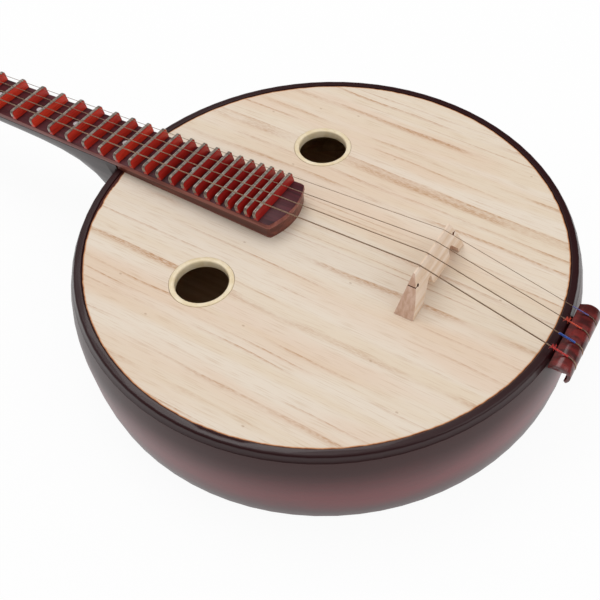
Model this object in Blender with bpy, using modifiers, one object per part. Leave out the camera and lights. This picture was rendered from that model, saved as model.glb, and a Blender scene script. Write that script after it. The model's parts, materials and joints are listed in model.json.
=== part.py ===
"""Zhongruan: a four string plucked lute with a round, shallow, hollow body.

The instrument lies on its back. The origin is the centre of the back plate's outer face,
+Z points up through the soundboard and +Y runs along the neck towards the head.
All lengths are in metres; a number times mm is that many millimetres.
"""
import math

import bmesh
import bpy
from mathutils import Matrix, Vector

mm = 0.001

# Fits
GAP = 0.3 * mm

# Body
BODY_DEPTH = 84 * mm
BODY_RADIUS = 218.6 * mm
WIDEST_HEIGHT = 36 * mm
TOP_DRAW_IN = 8.3 * mm
BACK_DRAW_IN = 2.3 * mm
BACK_EDGE_ROUND = 4 * mm
BACK_EDGE_POINTS = 3
SIDE_WALL = 12 * mm
SIDE_POINTS = 9
BODY_STEPS = 80

# Soundboard, back plate and the two linings that carry them
BOARD_THICKNESS = 5 * mm
BACK_THICKNESS = 5 * mm
LINING_WIDTH = 8 * mm
LINING_HEIGHT = 9 * mm

# Rim binding
BINDING_WIDTH = 6.8 * mm
BINDING_HEIGHT = 4.2 * mm
BINDING_PROUD = 1.2 * mm
BINDING_ROUND = 2.4 * mm
BINDING_ROUND_STEPS = 3
BINDING_INNER_EDGE = 0.5 * mm

# Sound holes
HOLE_OFFSET_X = 93.5 * mm
HOLE_OFFSET_Y = 63.9 * mm
HOLE_RADIUS = 21.8 * mm
RING_WIDTH = 4.4 * mm
RING_DEPTH = 7 * mm
RING_PROUD = 0.4 * mm
RING_STEPS = 40

# Blocks and braces inside the body
BLOCK_WIDTH = 72 * mm
BLOCK_LENGTH = 34 * mm
BRACE_WIDTH = 10 * mm
BRACE_HEIGHT = 13 * mm
UPPER_BRACE_Y = 20 * mm
LOWER_BRACE_Y = -125 * mm

# Strings, from the bass string on the left to the treble string on the right
SCALE_LENGTH = 600 * mm
BRIDGE_TO_RIM = 116.05 * mm
STRING_COUNT = 4
STRING_DIAMETERS = (1.1 * mm, 0.9 * mm, 0.7 * mm, 0.5 * mm)
SPACING_AT_BRIDGE = 14.27 * mm
SPACING_AT_NUT = 8.6 * mm
SPACING_AT_TAIL = 14.95 * mm
NUT_STRING_HEIGHT = 9.6 * mm

# Fingerboard and the wedge that carries it over the soundboard
NECK_TILT = math.radians(1.95)
FINGERBOARD_RISE = 16.8 * mm
FINGERBOARD_THICKNESS = 5 * mm
FINGERBOARD_START = 129 * mm
FINGERBOARD_ARCH = 7 * mm
FINGERBOARD_CORNER = 2.5 * mm
FINGERBOARD_ARCH_STEPS = 12
HALF_WIDTH_AT_BODY_END = 28.2 * mm
HALF_WIDTH_AT_NUT = 18 * mm
WEDGE_INSET = 1.2 * mm

# Frets: each one's crest ends at its line, and the rest of it lies on the bridge's side of that
FRET_COUNT = 24
FRET_HEIGHT = 8.4 * mm
FRET_CREST = 2.6 * mm
FRET_EDGE = 0.5 * mm
FRET_WAIST = 3.2 * mm
FRET_WAIST_HEIGHT = 5.2 * mm
FRET_FOOT = 4.2 * mm
FRET_END_ROUND = 2.2 * mm
FRET_END_POINTS = 3

# Neck
NECK_DEPTH_AT_BODY = 21.5 * mm
NECK_DEPTH_AT_NUT = 18.5 * mm
JOINT_INSET = 1 * mm
HEEL_EXTRA = 38 * mm
HEEL_REACH = 20.4 * mm
HEEL_FALL = 22 * mm
HEEL_LIMIT = 80 * mm
HEEL_FLARE = 9 * mm
NECK_STATIONS = 15
NECK_ARC_POINTS = 14

# Nut
NUT_THICKNESS = 6 * mm
NUT_FLAT = 1 * mm
NUT_BACK_DROP = 3 * mm

# Head: the peg box and the ornament at its tip
HEAD_ANGLE = math.radians(8)
HEAD_LENGTH = 188 * mm
HEAD_THICKNESS = 26 * mm
HEAD_HALF_WIDTH = 26 * mm
HEAD_HALF_TAPER = 3.5 * mm
HEAD_SHOULDER = 28 * mm
SHOULDER_STEPS = 6
HEAD_TIP_HALF_WIDTH = 12 * mm
HEAD_EDGE = 2 * mm
SLOT_HALF_WIDTH = 12.5 * mm
SLOT_START = 24 * mm
SLOT_END = 160 * mm
CLOUD_TOP_RADIUS = 17 * mm
CLOUD_SIDE_RADIUS = 14 * mm
CLOUD_TOP_RISE = 15 * mm
CLOUD_SIDE_REACH = 17 * mm
CLOUD_SIDE_DROP = 4 * mm
CLOUD_FOOT = 17 * mm
ORNAMENT_THICKNESS = 14 * mm
ORNAMENT_EDGE = 2.5 * mm
ORNAMENT_POINTS = 48

# Tuning pegs, in the order of the strings
PEG_DISTANCES = (45 * mm, 109 * mm, 141 * mm, 77 * mm)
PEG_SIDES = (-1, -1, 1, 1)
PEG_DEPTH = 13 * mm
SHAFT_RADIUS = 4 * mm
SHAFT_TIP_RADIUS = 2.8 * mm
SHAFT_TIP = 1.2 * mm
SHAFT_PROUD = 1.5 * mm
KNOB_RADIUS = 9.5 * mm
KNOB_SHOULDER_RADIUS = 8.5 * mm
KNOB_CROWN_RADIUS = 5.2 * mm
KNOB_LENGTH = 36 * mm
KNOB_CROWN = 0.5 * mm
KNOB_SHOULDER = 4 * mm
KNOB_WIDEST = 10 * mm
KNOB_LOWER = 21 * mm
COLLAR_RADIUS = 6.4 * mm
COLLAR_HEIGHT = 2.5 * mm
PEG_WAIST_RADIUS = 4.9 * mm
PEG_WAIST = 5 * mm
FLUTE_COUNT = 6
FLUTE_RADIUS = 2.2 * mm
FLUTE_DEPTH = 1.2 * mm
FLUTE_START = 10 * mm
FLUTE_SIDES = 8
PEG_STEPS = 24
OUTER_POST_X = 9 * mm
INNER_POST_X = 3 * mm
WINDING_TURN_COUNT = 3
WINDING_STEP = 0.55 * mm
LOOP_POINTS = 22

# Bridge: its opening is cut towards the treble side, so the bass foot is the longer one
BRIDGE_HEIGHT = 35.4 * mm
BRIDGE_HALF_BASE = 46.5 * mm
BRIDGE_HALF_TOP = 30 * mm
BRIDGE_FRONT = 7.75 * mm
BRIDGE_BACK = 8.95 * mm
BRIDGE_BULGE = 1.7 * mm
BULGE_STEPS = 6
RIDGE_HALF = 0.6 * mm
OPENING_SHIFT = 4.5 * mm
OPENING_HALF = 32.4 * mm
OPENING_KNEE_HALF = 30.6 * mm
OPENING_KNEE_HEIGHT = 6 * mm
HORN_HEIGHT = 15.6 * mm
HORN_RADIUS = 3.1 * mm
HORN_TURN = math.radians(140)
HORN_POINTS = 7
TONGUE_HALF = 15.5 * mm
TONGUE_HEIGHT = 6.2 * mm
TONGUE_ROUND = 6 * mm
TONGUE_POINTS = 4
END_HOLE_X = 31 * mm
END_HOLE_HEIGHT = 25.2 * mm
END_HOLE_RADIUS = 1.4 * mm
END_HOLE_STEPS = 12
END_SLIT = 0.8 * mm

# Tailpiece: a round hood on the side of the body, solid in the middle and hollow at its ends
TAIL_RADIUS = 9.5 * mm
TAIL_WALL = 2.6 * mm
TAIL_HALF_LENGTH = 34 * mm
TAIL_CORE_HALF = 24.5 * mm
TAIL_STAND_OFF = 10.9 * mm
TAIL_DROP = 5 * mm
TAIL_LIP_GAP = 1.6 * mm
TAIL_LIP_RISE = 0.6 * mm
TAIL_LIP_DEPTH = 10 * mm
TAIL_HOOD_END = math.radians(225)
TAIL_STEP = math.radians(10)
GROOVE_RADIUS = 1.1 * mm
GROOVE_LIFT = 0.5 * mm
GROOVE_START = math.radians(95)
GROOVE_END = math.radians(262)
TAIL_WRAP = math.radians(150)

# Values that follow from the ones above
RIM_RADIUS = BODY_RADIUS - TOP_DRAW_IN
BRIDGE_LINE_Y = BRIDGE_TO_RIM - RIM_RADIUS
BINDING_INNER = RIM_RADIUS - BINDING_WIDTH
BOARD_RADIUS = BINDING_INNER - GAP
WALL_RADIUS = BODY_RADIUS - SIDE_WALL
BACK_RADIUS = WALL_RADIUS - GAP
FRAME_TOP = BODY_DEPTH - BINDING_HEIGHT - GAP
RIM_TOP = BODY_DEPTH + BINDING_PROUD
CAVITY_TOP = BODY_DEPTH - BOARD_THICKNESS - GAP
CAVITY_FLOOR = BACK_THICKNESS + GAP
RING_RADIUS = HOLE_RADIUS + RING_WIDTH
JOINT_Y = math.sqrt(RIM_RADIUS ** 2 - HALF_WIDTH_AT_BODY_END ** 2) - JOINT_INSET
TAIL_Y = -(RIM_RADIUS + TAIL_STAND_OFF)
TAIL_HEIGHT = BODY_DEPTH - TAIL_DROP
FINGERBOARD_END = SCALE_LENGTH - GAP
NECK_TOP = -FINGERBOARD_THICKNESS - GAP
NECK_END = SCALE_LENGTH + NUT_THICKNESS
BRIDGE_TOP = BODY_DEPTH + GAP + BRIDGE_HEIGHT
FRET_LENGTHS = [SCALE_LENGTH * 2 ** (-number / 12) for number in range(1, FRET_COUNT + 1)]


def start_scene():
    """Empty the scene and make one collection for the parts and one for the cutters."""
    for item in list(bpy.data.objects):
        bpy.data.objects.remove(item, do_unlink=True)
    collections = []
    for name in ("zhongruan", "cutters"):
        collection = bpy.data.collections.new(name)
        bpy.context.scene.collection.children.link(collection)
        collections.append(collection)
    return collections


PARTS, CUTTERS = start_scene()


def finish(name, colour, roughness, metallic=0.0):
    """Make a plain Principled BSDF material."""
    material = bpy.data.materials.new(name)
    material.use_nodes = True
    shader = material.node_tree.nodes["Principled BSDF"]
    shader.inputs["Base Color"].default_value = (*colour, 1.0)
    shader.inputs["Roughness"].default_value = roughness
    shader.inputs["Metallic"].default_value = metallic
    return material


LACQUER = (0.045, 0.010, 0.012)
FRET_RED = (0.30, 0.020, 0.014)
PALE_WOOD = (0.76, 0.67, 0.54)


def add(name, data, parent=None, material=None):
    """Add an object for a mesh or a curve; with no material it is a cutter."""
    item = bpy.data.objects.new(name, data)
    item.parent = parent
    if material is None:
        item.hide_render = True
        item.display_type = "WIRE"
        CUTTERS.objects.link(item)
    else:
        data.materials.append(material)
        PARTS.objects.link(item)
    return item


def frame(name, place, angle, parent=None):
    """Add an empty, turned about X, that carries other pieces."""
    item = bpy.data.objects.new(name, None)
    item.parent = parent
    item.location = place
    item.rotation_euler = (angle, 0, 0)
    PARTS.objects.link(item)
    return item


def turned(name, profile, steps, material=None, parent=None):
    """Turn (radius, height) points about Z; they run down the outer side."""
    points = [(radius, 0.0, height) for radius, height in profile]
    edges = [(i, i + 1) for i in range(len(points) - 1)]
    if profile[0][0] > 0:
        edges.append((len(points) - 1, 0))
    mesh = bpy.data.meshes.new(name)
    mesh.from_pydata(points, edges, [])
    item = add(name, mesh, parent, material)
    screw = item.modifiers.new("turn", "SCREW")
    screw.axis = "Z"
    screw.steps = steps
    screw.render_steps = steps
    screw.use_merge_vertices = True
    screw.merge_threshold = 0.00001
    screw.use_smooth_shade = True
    return item


PLANES = {
    "XY": Matrix.Identity(4),
    "YZ": Matrix(((0, 0, 1, 0), (1, 0, 0, 0), (0, 1, 0, 0), (0, 0, 0, 1))),
    "XZ": Matrix(((1, 0, 0, 0), (0, 0, -1, 0), (0, 1, 0, 0), (0, 0, 0, 1))),
}


def welded_mesh(curve_item):
    """Turn a curve object into a closed mesh and remove the curve."""
    bpy.context.view_layer.update()
    graph = bpy.context.evaluated_depsgraph_get()
    mesh = bpy.data.meshes.new_from_object(curve_item.evaluated_get(graph))
    work = bmesh.new()
    work.from_mesh(mesh)
    bmesh.ops.remove_doubles(work, verts=work.verts, dist=0.000001)
    work.to_mesh(mesh)
    work.free()
    mesh.materials.clear()
    bpy.data.objects.remove(curve_item, do_unlink=True)
    return mesh


def prism(name, outline, thickness, plane, material=None, parent=None):
    """Extrude a flat outline to both sides of the plane it is drawn in."""
    curve = bpy.data.curves.new(name + "_outline", "CURVE")
    curve.dimensions = "2D"
    curve.fill_mode = "BOTH"
    curve.extrude = thickness / 2
    spline = curve.splines.new("POLY")
    spline.points.add(len(outline) - 1)
    for point, (u, v) in zip(spline.points, outline):
        point.co = (u, v, 0, 1)
    spline.use_cyclic_u = True
    guide = bpy.data.objects.new(name + "_outline", curve)
    CUTTERS.objects.link(guide)
    mesh = welded_mesh(guide)
    mesh.transform(PLANES[plane])
    mesh.name = name
    return add(name, mesh, parent, material)


def box(name, low, high, material=None, parent=None):
    """Add a box from its lowest and highest corners."""
    mesh = bpy.data.meshes.new(name)
    work = bmesh.new()
    bmesh.ops.create_cube(work, size=1.0)
    size = Vector(high) - Vector(low)
    bmesh.ops.scale(work, vec=size, verts=work.verts)
    bmesh.ops.translate(work, vec=(Vector(high) + Vector(low)) / 2, verts=work.verts)
    work.to_mesh(mesh)
    work.free()
    return add(name, mesh, parent, material)


def rods(name, centres, radius, length, axis, sides=24, parent=None):
    """Add a cutter of one or more cylinders along one axis."""
    mesh = bpy.data.meshes.new(name)
    work = bmesh.new()
    turn = {"X": Matrix.Rotation(math.pi / 2, 4, "Y"), "Y": Matrix.Rotation(math.pi / 2, 4, "X"),
            "Z": Matrix.Identity(4)}[axis]
    for centre in centres:
        bmesh.ops.create_cone(work, cap_ends=True, segments=sides, radius1=radius, radius2=radius,
                              depth=length, matrix=Matrix.Translation(centre) @ turn)
    work.to_mesh(mesh)
    work.free()
    return add(name, mesh, parent)


def boolean(item, other, operation="DIFFERENCE"):
    """Cut or intersect a part with a cutter."""
    modifier = item.modifiers.new(other.name, "BOOLEAN")
    modifier.operation = operation
    modifier.solver = "EXACT"
    modifier.object = other


def tube(name, points, diameter, resolution, material, parent=None):
    """Run a round tube with closed ends through the points."""
    curve = bpy.data.curves.new(name, "CURVE")
    curve.dimensions = "3D"
    curve.bevel_depth = diameter / 2
    curve.bevel_resolution = resolution
    curve.use_fill_caps = True
    spline = curve.splines.new("POLY")
    spline.points.add(len(points) - 1)
    for point, place in zip(spline.points, points):
        point.co = (*place, 1)
    return add(name, curve, parent, material)


def side_radius(height):
    """Outer radius of the body's convex side at a height above the back."""
    if height > WIDEST_HEIGHT:
        share = (height - WIDEST_HEIGHT) / (BODY_DEPTH - WIDEST_HEIGHT)
        return BODY_RADIUS - TOP_DRAW_IN * share ** 3
    share = (WIDEST_HEIGHT - height) / WIDEST_HEIGHT
    return BODY_RADIUS - BACK_DRAW_IN * share ** 3


def side_line(top, grow=0.0):
    """Points down the convex side, from a height to where the back edge's rounding starts."""
    points = []
    for i in range(SIDE_POINTS):
        height = top + (BACK_EDGE_ROUND - top) * i / (SIDE_POINTS - 1)
        points.append((side_radius(height) + grow, height))
    return points


def back_edge():
    """Points round the back edge of the side."""
    centre = side_radius(BACK_EDGE_ROUND) - BACK_EDGE_ROUND
    points = []
    for i in range(1, BACK_EDGE_POINTS + 1):
        angle = i / BACK_EDGE_POINTS * math.pi / 2
        points.append((centre + BACK_EDGE_ROUND * math.cos(angle), BACK_EDGE_ROUND * (1 - math.sin(angle))))
    return points


def body_envelope(name):
    """A cutter of the whole body with its running gap, for what is fitted to its outside."""
    side = side_line(BODY_DEPTH, GAP)
    profile = [(0, RIM_TOP + GAP), (RIM_RADIUS + GAP, RIM_TOP + GAP)] + side
    profile += [(side[-1][0], -BACK_EDGE_ROUND), (0, -BACK_EDGE_ROUND)]
    return turned(name, profile, BODY_STEPS)


def make_side_frame():
    """The wall of the body: one turned ring, convex outside and straight inside."""
    profile = side_line(FRAME_TOP) + back_edge()
    profile += [(WALL_RADIUS, 0), (WALL_RADIUS, FRAME_TOP)]
    turned("side_frame", profile, BODY_STEPS, finish("side_lacquer", LACQUER, 0.25))


def make_linings():
    """The two rings inside the wall: the soundboard rests on one, the other on the back plate."""
    material = finish("lining_wood", (0.50, 0.36, 0.22), 0.7)
    outer = WALL_RADIUS - GAP
    inner = outer - LINING_WIDTH
    for name, top, low in (("upper_lining", CAVITY_TOP, CAVITY_TOP - LINING_HEIGHT),
                           ("lower_lining", CAVITY_FLOOR + LINING_HEIGHT, CAVITY_FLOOR)):
        turned(name, [(outer, top), (outer, low), (inner, low), (inner, top)], BODY_STEPS, material)


def make_rim_binding():
    """The dark edging that covers the joint of the soundboard and the side."""
    low = BODY_DEPTH - BINDING_HEIGHT
    centre = (RIM_RADIUS - BINDING_ROUND, RIM_TOP - BINDING_ROUND)
    profile = [(BINDING_INNER + BINDING_INNER_EDGE, RIM_TOP)]
    for i in range(BINDING_ROUND_STEPS + 1):
        angle = math.pi / 2 * (1 - i / BINDING_ROUND_STEPS)
        profile.append((centre[0] + BINDING_ROUND * math.cos(angle),
                        centre[1] + BINDING_ROUND * math.sin(angle)))
    profile += [(side_radius(low), low), (BINDING_INNER, low), (BINDING_INNER, RIM_TOP - BINDING_INNER_EDGE)]
    turned("rim_binding", profile, BODY_STEPS, finish("binding_lacquer", (0.03, 0.009, 0.010), 0.25))


def make_soundboard():
    """The front plate, with a hole for each sound hole ring."""
    profile = [(0, BODY_DEPTH), (BOARD_RADIUS, BODY_DEPTH),
               (BOARD_RADIUS, BODY_DEPTH - BOARD_THICKNESS), (0, BODY_DEPTH - BOARD_THICKNESS)]
    board = turned("soundboard", profile, BODY_STEPS, finish("soundboard_wood", PALE_WOOD, 0.55))
    centres = [(side * HOLE_OFFSET_X, HOLE_OFFSET_Y, BODY_DEPTH) for side in (-1, 1)]
    boolean(board, rods("sound_hole_cutter", centres, RING_RADIUS + GAP, 4 * BOARD_THICKNESS, "Z",
                        RING_STEPS))


def make_sound_hole_rings():
    """A cream ring let into each sound hole."""
    material = finish("ring_cream", (0.80, 0.69, 0.47), 0.35)
    low = BODY_DEPTH - RING_DEPTH
    top = BODY_DEPTH + RING_PROUD
    edge = 0.8 * mm
    profile = [(RING_RADIUS, top), (RING_RADIUS, low), (HOLE_RADIUS, low), (HOLE_RADIUS, top - edge),
               (HOLE_RADIUS + edge, top)]
    for name, side in (("sound_hole_ring_left", -1), ("sound_hole_ring_right", 1)):
        ring = turned(name, profile, RING_STEPS, material)
        ring.location = (side * HOLE_OFFSET_X, HOLE_OFFSET_Y, 0)


def make_back_plate():
    """The flat back that the instrument lies on."""
    profile = [(0, BACK_THICKNESS), (BACK_RADIUS, BACK_THICKNESS), (BACK_RADIUS, 0), (0, 0)]
    turned("back_plate", profile, BODY_STEPS, finish("back_wood", (0.10, 0.03, 0.025), 0.35))


def make_inside():
    """The neck block, the tail block and the two braces under the soundboard."""
    material = finish("inner_wood", (0.55, 0.42, 0.28), 0.7)
    wall = WALL_RADIUS - GAP
    lining = wall - LINING_WIDTH - GAP
    upper = CAVITY_TOP - LINING_HEIGHT - GAP
    lower = CAVITY_FLOOR + LINING_HEIGHT + GAP
    profile = [(0, CAVITY_TOP), (lining, CAVITY_TOP), (lining, upper), (wall, upper), (wall, lower),
               (lining, lower), (lining, CAVITY_FLOOR), (0, CAVITY_FLOOR)]
    cavity = turned("cavity_guide", profile, BODY_STEPS)
    half = BLOCK_WIDTH / 2
    reach = BODY_RADIUS
    inner = WALL_RADIUS - BLOCK_LENGTH
    neck_block = box("neck_block", (-half, inner, -GAP), (half, reach, BODY_DEPTH), material)
    boolean(neck_block, cavity, "INTERSECT")
    tail_block = box("tail_block", (-half, -reach, -GAP), (half, -inner, BODY_DEPTH), material)
    boolean(tail_block, cavity, "INTERSECT")
    for name, place in (("upper_brace", UPPER_BRACE_Y), ("lower_brace", LOWER_BRACE_Y)):
        brace = box(name, (-reach, place - BRACE_WIDTH / 2, CAVITY_TOP - BRACE_HEIGHT),
                    (reach, place + BRACE_WIDTH / 2, BODY_DEPTH), material)
        boolean(brace, cavity, "INTERSECT")


def neck_frame_matrix():
    """Place of the neck's frame: over the bridge line, level with the fingerboard's top."""
    height = BODY_DEPTH + FINGERBOARD_RISE + math.sin(NECK_TILT) * FINGERBOARD_START
    return Matrix.Translation((0, BRIDGE_LINE_Y, height)) @ Matrix.Rotation(-NECK_TILT, 4, "X")


def head_frame_matrix():
    """Place of the head's frame: at the end of the neck, bent back."""
    step = Matrix.Translation((0, NECK_END + 2 * GAP, NECK_TOP))
    return neck_frame_matrix() @ step @ Matrix.Rotation(-HEAD_ANGLE, 4, "X")


def half_width(distance):
    """Half the fingerboard's width at a distance from the bridge line."""
    start = FINGERBOARD_START + FINGERBOARD_ARCH
    share = (distance - start) / (SCALE_LENGTH - start)
    return HALF_WIDTH_AT_BODY_END + (HALF_WIDTH_AT_NUT - HALF_WIDTH_AT_BODY_END) * share


def board_outline(start, end, inset):
    """Outline of the fingerboard from its arched free end, drawn in from its sides."""
    corner = start + FINGERBOARD_ARCH
    wide = half_width(corner) - inset
    points = [(half_width(end) - inset, end), (wide, corner + FINGERBOARD_CORNER)]
    reach = wide - FINGERBOARD_CORNER / 3
    for i in range(FINGERBOARD_ARCH_STEPS + 1):
        across = reach * (1 - 2 * i / FINGERBOARD_ARCH_STEPS)
        points.append((across, corner - FINGERBOARD_ARCH * (1 - (across / wide) ** 2)))
    points += [(-wide, corner + FINGERBOARD_CORNER), (-(half_width(end) - inset), end)]
    return list(reversed(points))


def make_fingerboard(neck_frame):
    """The dark board under the frets and the wedge between it and the soundboard."""
    outline = board_outline(FINGERBOARD_START, FINGERBOARD_END, 0)
    material = finish("fingerboard_wood", (0.085, 0.012, 0.018), 0.3)
    board = prism("fingerboard", outline, FINGERBOARD_THICKNESS, "XY", material, neck_frame)
    board.location = (0, 0, -FINGERBOARD_THICKNESS / 2)

    end = JOINT_Y - BRIDGE_LINE_Y
    outline = board_outline(FINGERBOARD_START + WEDGE_INSET, end, WEDGE_INSET)
    depth = FINGERBOARD_RISE + FINGERBOARD_THICKNESS
    wedge = prism("fingerboard_wedge", outline, depth, "XY",
                  finish("wedge_wood", (0.07, 0.015, 0.015), 0.35), neck_frame)
    wedge.location = (0, 0, NECK_TOP - depth / 2)
    seat = BODY_DEPTH + GAP
    low = seat - depth
    profile = [(0, seat), (BOARD_RADIUS - GAP, seat), (BOARD_RADIUS - GAP, RIM_TOP + GAP),
               (BODY_RADIUS, RIM_TOP + GAP), (BODY_RADIUS, low), (0, low)]
    boolean(wedge, turned("wedge_seat_cutter", profile, BODY_STEPS))


def make_frets(neck_frame):
    """Tall wooden frets, upright on the head's side, with rounded ends."""
    material = finish("fret_wood", FRET_RED, 0.35)
    top = FRET_HEIGHT
    side = [(0, GAP), (0, top - FRET_EDGE), (-FRET_EDGE, top), (FRET_EDGE - FRET_CREST, top),
            (-FRET_CREST, top - FRET_EDGE), (-FRET_WAIST, FRET_WAIST_HEIGHT), (-FRET_FOOT, GAP)]
    for number, distance in enumerate(FRET_LENGTHS, 1):
        half = half_width(distance)
        name = "fret_%02d" % number
        fret = prism(name, list(reversed(side)), 2 * half, "YZ", material, neck_frame)
        fret.location = (0, distance, 0)
        corner = []
        for i in range(FRET_END_POINTS + 1):
            angle = math.pi / 2 * i / FRET_END_POINTS
            corner.append((half - FRET_END_ROUND * (1 - math.cos(angle)),
                           top - FRET_END_ROUND * (1 - math.sin(angle)) + GAP * math.sin(angle)))
        front = [(-half, 0), (half, 0)] + corner + [(-x, z) for x, z in reversed(corner)]
        ends = prism(name + "_ends", front, 4 * FRET_FOOT, "XZ", None, neck_frame)
        ends.location = (0, distance, 0)
        boolean(fret, ends, "INTERSECT")


def loft(name, sections, material, parent):
    """Skin closed sections of equal point counts and cap both ends."""
    mesh = bpy.data.meshes.new(name)
    work = bmesh.new()
    rings = [[work.verts.new(point) for point in section] for section in sections]
    for first, second in zip(rings, rings[1:]):
        for i in range(len(first)):
            j = (i + 1) % len(first)
            side = work.faces.new((first[i], first[j], second[j], second[i]))
            side.smooth = True
    work.faces.new(rings[0])
    work.faces.new(rings[-1])
    bmesh.ops.recalc_face_normals(work, faces=work.faces)
    work.to_mesh(mesh)
    work.free()
    return add(name, mesh, parent, material)


def neck_section(distance):
    """Half round section of the neck, deepening and flaring into the heel."""
    share = (distance - FINGERBOARD_START) / (NECK_END - FINGERBOARD_START)
    depth = NECK_DEPTH_AT_BODY + (NECK_DEPTH_AT_NUT - NECK_DEPTH_AT_BODY) * share
    heel_place = BODY_RADIUS + HEEL_REACH - BRIDGE_LINE_Y
    heel = HEEL_EXTRA * math.exp((heel_place - distance) / HEEL_FALL)
    depth = min(depth + heel, HEEL_LIMIT)
    start = RIM_RADIUS - BRIDGE_LINE_Y
    flare = HEEL_FLARE * math.exp(min(start - distance, 0) / (HEEL_FALL / 2))
    half = half_width(min(distance, SCALE_LENGTH))
    points = []
    for i in range(NECK_ARC_POINTS + 1):
        angle = math.pi * i / NECK_ARC_POINTS
        across = (half + flare * math.sin(angle)) * math.cos(angle)
        points.append((across, distance, NECK_TOP - depth * math.sin(angle)))
    return points


def make_neck(neck_frame):
    """The neck from the nut to the heel, fitted to the side of the body."""
    start = JOINT_Y - BRIDGE_LINE_Y + GAP
    sections = []
    for i in range(NECK_STATIONS):
        share = i / (NECK_STATIONS - 1)
        sections.append(neck_section(start + (NECK_END - start) * share ** 2))
    neck = loft("neck", sections, finish("neck_lacquer", (0.035, 0.012, 0.013), 0.3), neck_frame)
    boolean(neck, body_envelope("neck_seat_cutter"))
    return neck


def string_offset(index, spacing):
    """Distance of a string from the middle of the neck."""
    return (index - (STRING_COUNT - 1) / 2) * spacing


def make_nut(neck_frame):
    """The bone nut that carries the strings at the end of the fingerboard."""
    top = NUT_STRING_HEIGHT - max(STRING_DIAMETERS) / 2 - 2 * GAP
    start = SCALE_LENGTH
    low = NECK_TOP + GAP
    side = [(start, low), (NECK_END, low), (NECK_END, top - NUT_BACK_DROP),
            (start + NUT_FLAT, top), (start, top)]
    nut = prism("nut", side, 2 * HALF_WIDTH_AT_NUT, "YZ", finish("nut_bone", (0.78, 0.72, 0.60), 0.3),
                neck_frame)
    return nut


def head_half_width(distance):
    """Half the peg box's width along the head."""
    if distance < HEAD_SHOULDER:
        share = distance / HEAD_SHOULDER
        ease = share * share * (3 - 2 * share)
        return HALF_WIDTH_AT_NUT + (HEAD_HALF_WIDTH - HALF_WIDTH_AT_NUT) * ease
    taper_end = HEAD_LENGTH - HEAD_SHOULDER
    if distance < taper_end:
        share = (distance - HEAD_SHOULDER) / (taper_end - HEAD_SHOULDER)
        return HEAD_HALF_WIDTH - HEAD_HALF_TAPER * share
    share = (distance - taper_end) / HEAD_SHOULDER
    ease = share * share * (3 - 2 * share)
    wide = HEAD_HALF_WIDTH - HEAD_HALF_TAPER
    return wide + (HEAD_TIP_HALF_WIDTH - wide) * ease


def make_peg_box(head_frame, neck_frame):
    """The slotted head that holds the tuning pegs, its foot cut square to the neck's end."""
    steps = [HEAD_SHOULDER * i / SHOULDER_STEPS for i in range(SHOULDER_STEPS + 1)]
    stations = steps + [HEAD_LENGTH - step for step in reversed(steps)]
    right = [(head_half_width(distance), distance) for distance in stations]
    outline = right + [(-x, y) for x, y in reversed(right)]
    head = prism("peg_box", outline, HEAD_THICKNESS, "XY",
                 finish("head_lacquer", (0.04, 0.010, 0.012), 0.3), head_frame)
    head.location = (0, 0, -HEAD_THICKNESS / 2)
    edge = head.modifiers.new("edge", "BEVEL")
    edge.width = HEAD_EDGE
    edge.segments = 2
    edge.limit_method = "ANGLE"
    edge.angle_limit = math.radians(50)
    slot = box("peg_box_slot_cutter", (-SLOT_HALF_WIDTH, SLOT_START, -2 * HEAD_THICKNESS),
               (SLOT_HALF_WIDTH, SLOT_END, HEAD_THICKNESS), None, head_frame)
    boolean(head, slot)
    centres = [(0, distance, -PEG_DEPTH) for distance in PEG_DISTANCES]
    boolean(head, rods("peg_hole_cutter", centres, SHAFT_RADIUS + GAP, 4 * HEAD_HALF_WIDTH, "X",
                       PEG_STEPS, head_frame))
    side = 2 * HEAD_HALF_WIDTH
    boolean(head, box("neck_end_cutter", (-side, NECK_END - side, -side), (side, NECK_END + GAP, side),
                      None, neck_frame))


def cloud_outline():
    """Outline of three round lobes, the farthest edge of each as seen from their middle."""
    lobes = [(Vector((0, CLOUD_TOP_RISE)), CLOUD_TOP_RADIUS),
             (Vector((CLOUD_SIDE_REACH, -CLOUD_SIDE_DROP)), CLOUD_SIDE_RADIUS),
             (Vector((-CLOUD_SIDE_REACH, -CLOUD_SIDE_DROP)), CLOUD_SIDE_RADIUS)]
    middle = HEAD_LENGTH + GAP + CLOUD_FOOT
    outline = []
    for i in range(ORNAMENT_POINTS):
        angle = 2 * math.pi * i / ORNAMENT_POINTS
        way = Vector((math.cos(angle), math.sin(angle)))
        reach = CLOUD_FOOT
        for centre, radius in lobes:
            along = way.dot(centre)
            inside = along ** 2 - centre.length_squared + radius ** 2
            if inside > 0:
                reach = max(reach, along + math.sqrt(inside))
        point = way * reach
        outline.append((point.x, middle + max(point.y, -CLOUD_FOOT)))
    return outline


def make_head_ornament(head_frame):
    """A flat three lobed cloud at the tip of the head."""
    cloud = prism("head_ornament", cloud_outline(), ORNAMENT_THICKNESS, "XY",
                  finish("ornament_bone", (0.74, 0.66, 0.50), 0.3), head_frame)
    cloud.location = (0, 0, -HEAD_THICKNESS / 2)
    edge = cloud.modifiers.new("edge", "BEVEL")
    edge.width = ORNAMENT_EDGE
    edge.segments = 2
    edge.limit_method = "ANGLE"
    edge.angle_limit = math.radians(50)


def post_place(index):
    """Where a string meets its peg: offset from the middle and the side its winding grows to."""
    outer = index in (0, STRING_COUNT - 1)
    side = -1 if index < STRING_COUNT / 2 else 1
    if outer:
        return side * OUTER_POST_X, -side
    return side * INNER_POST_X, side


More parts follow.
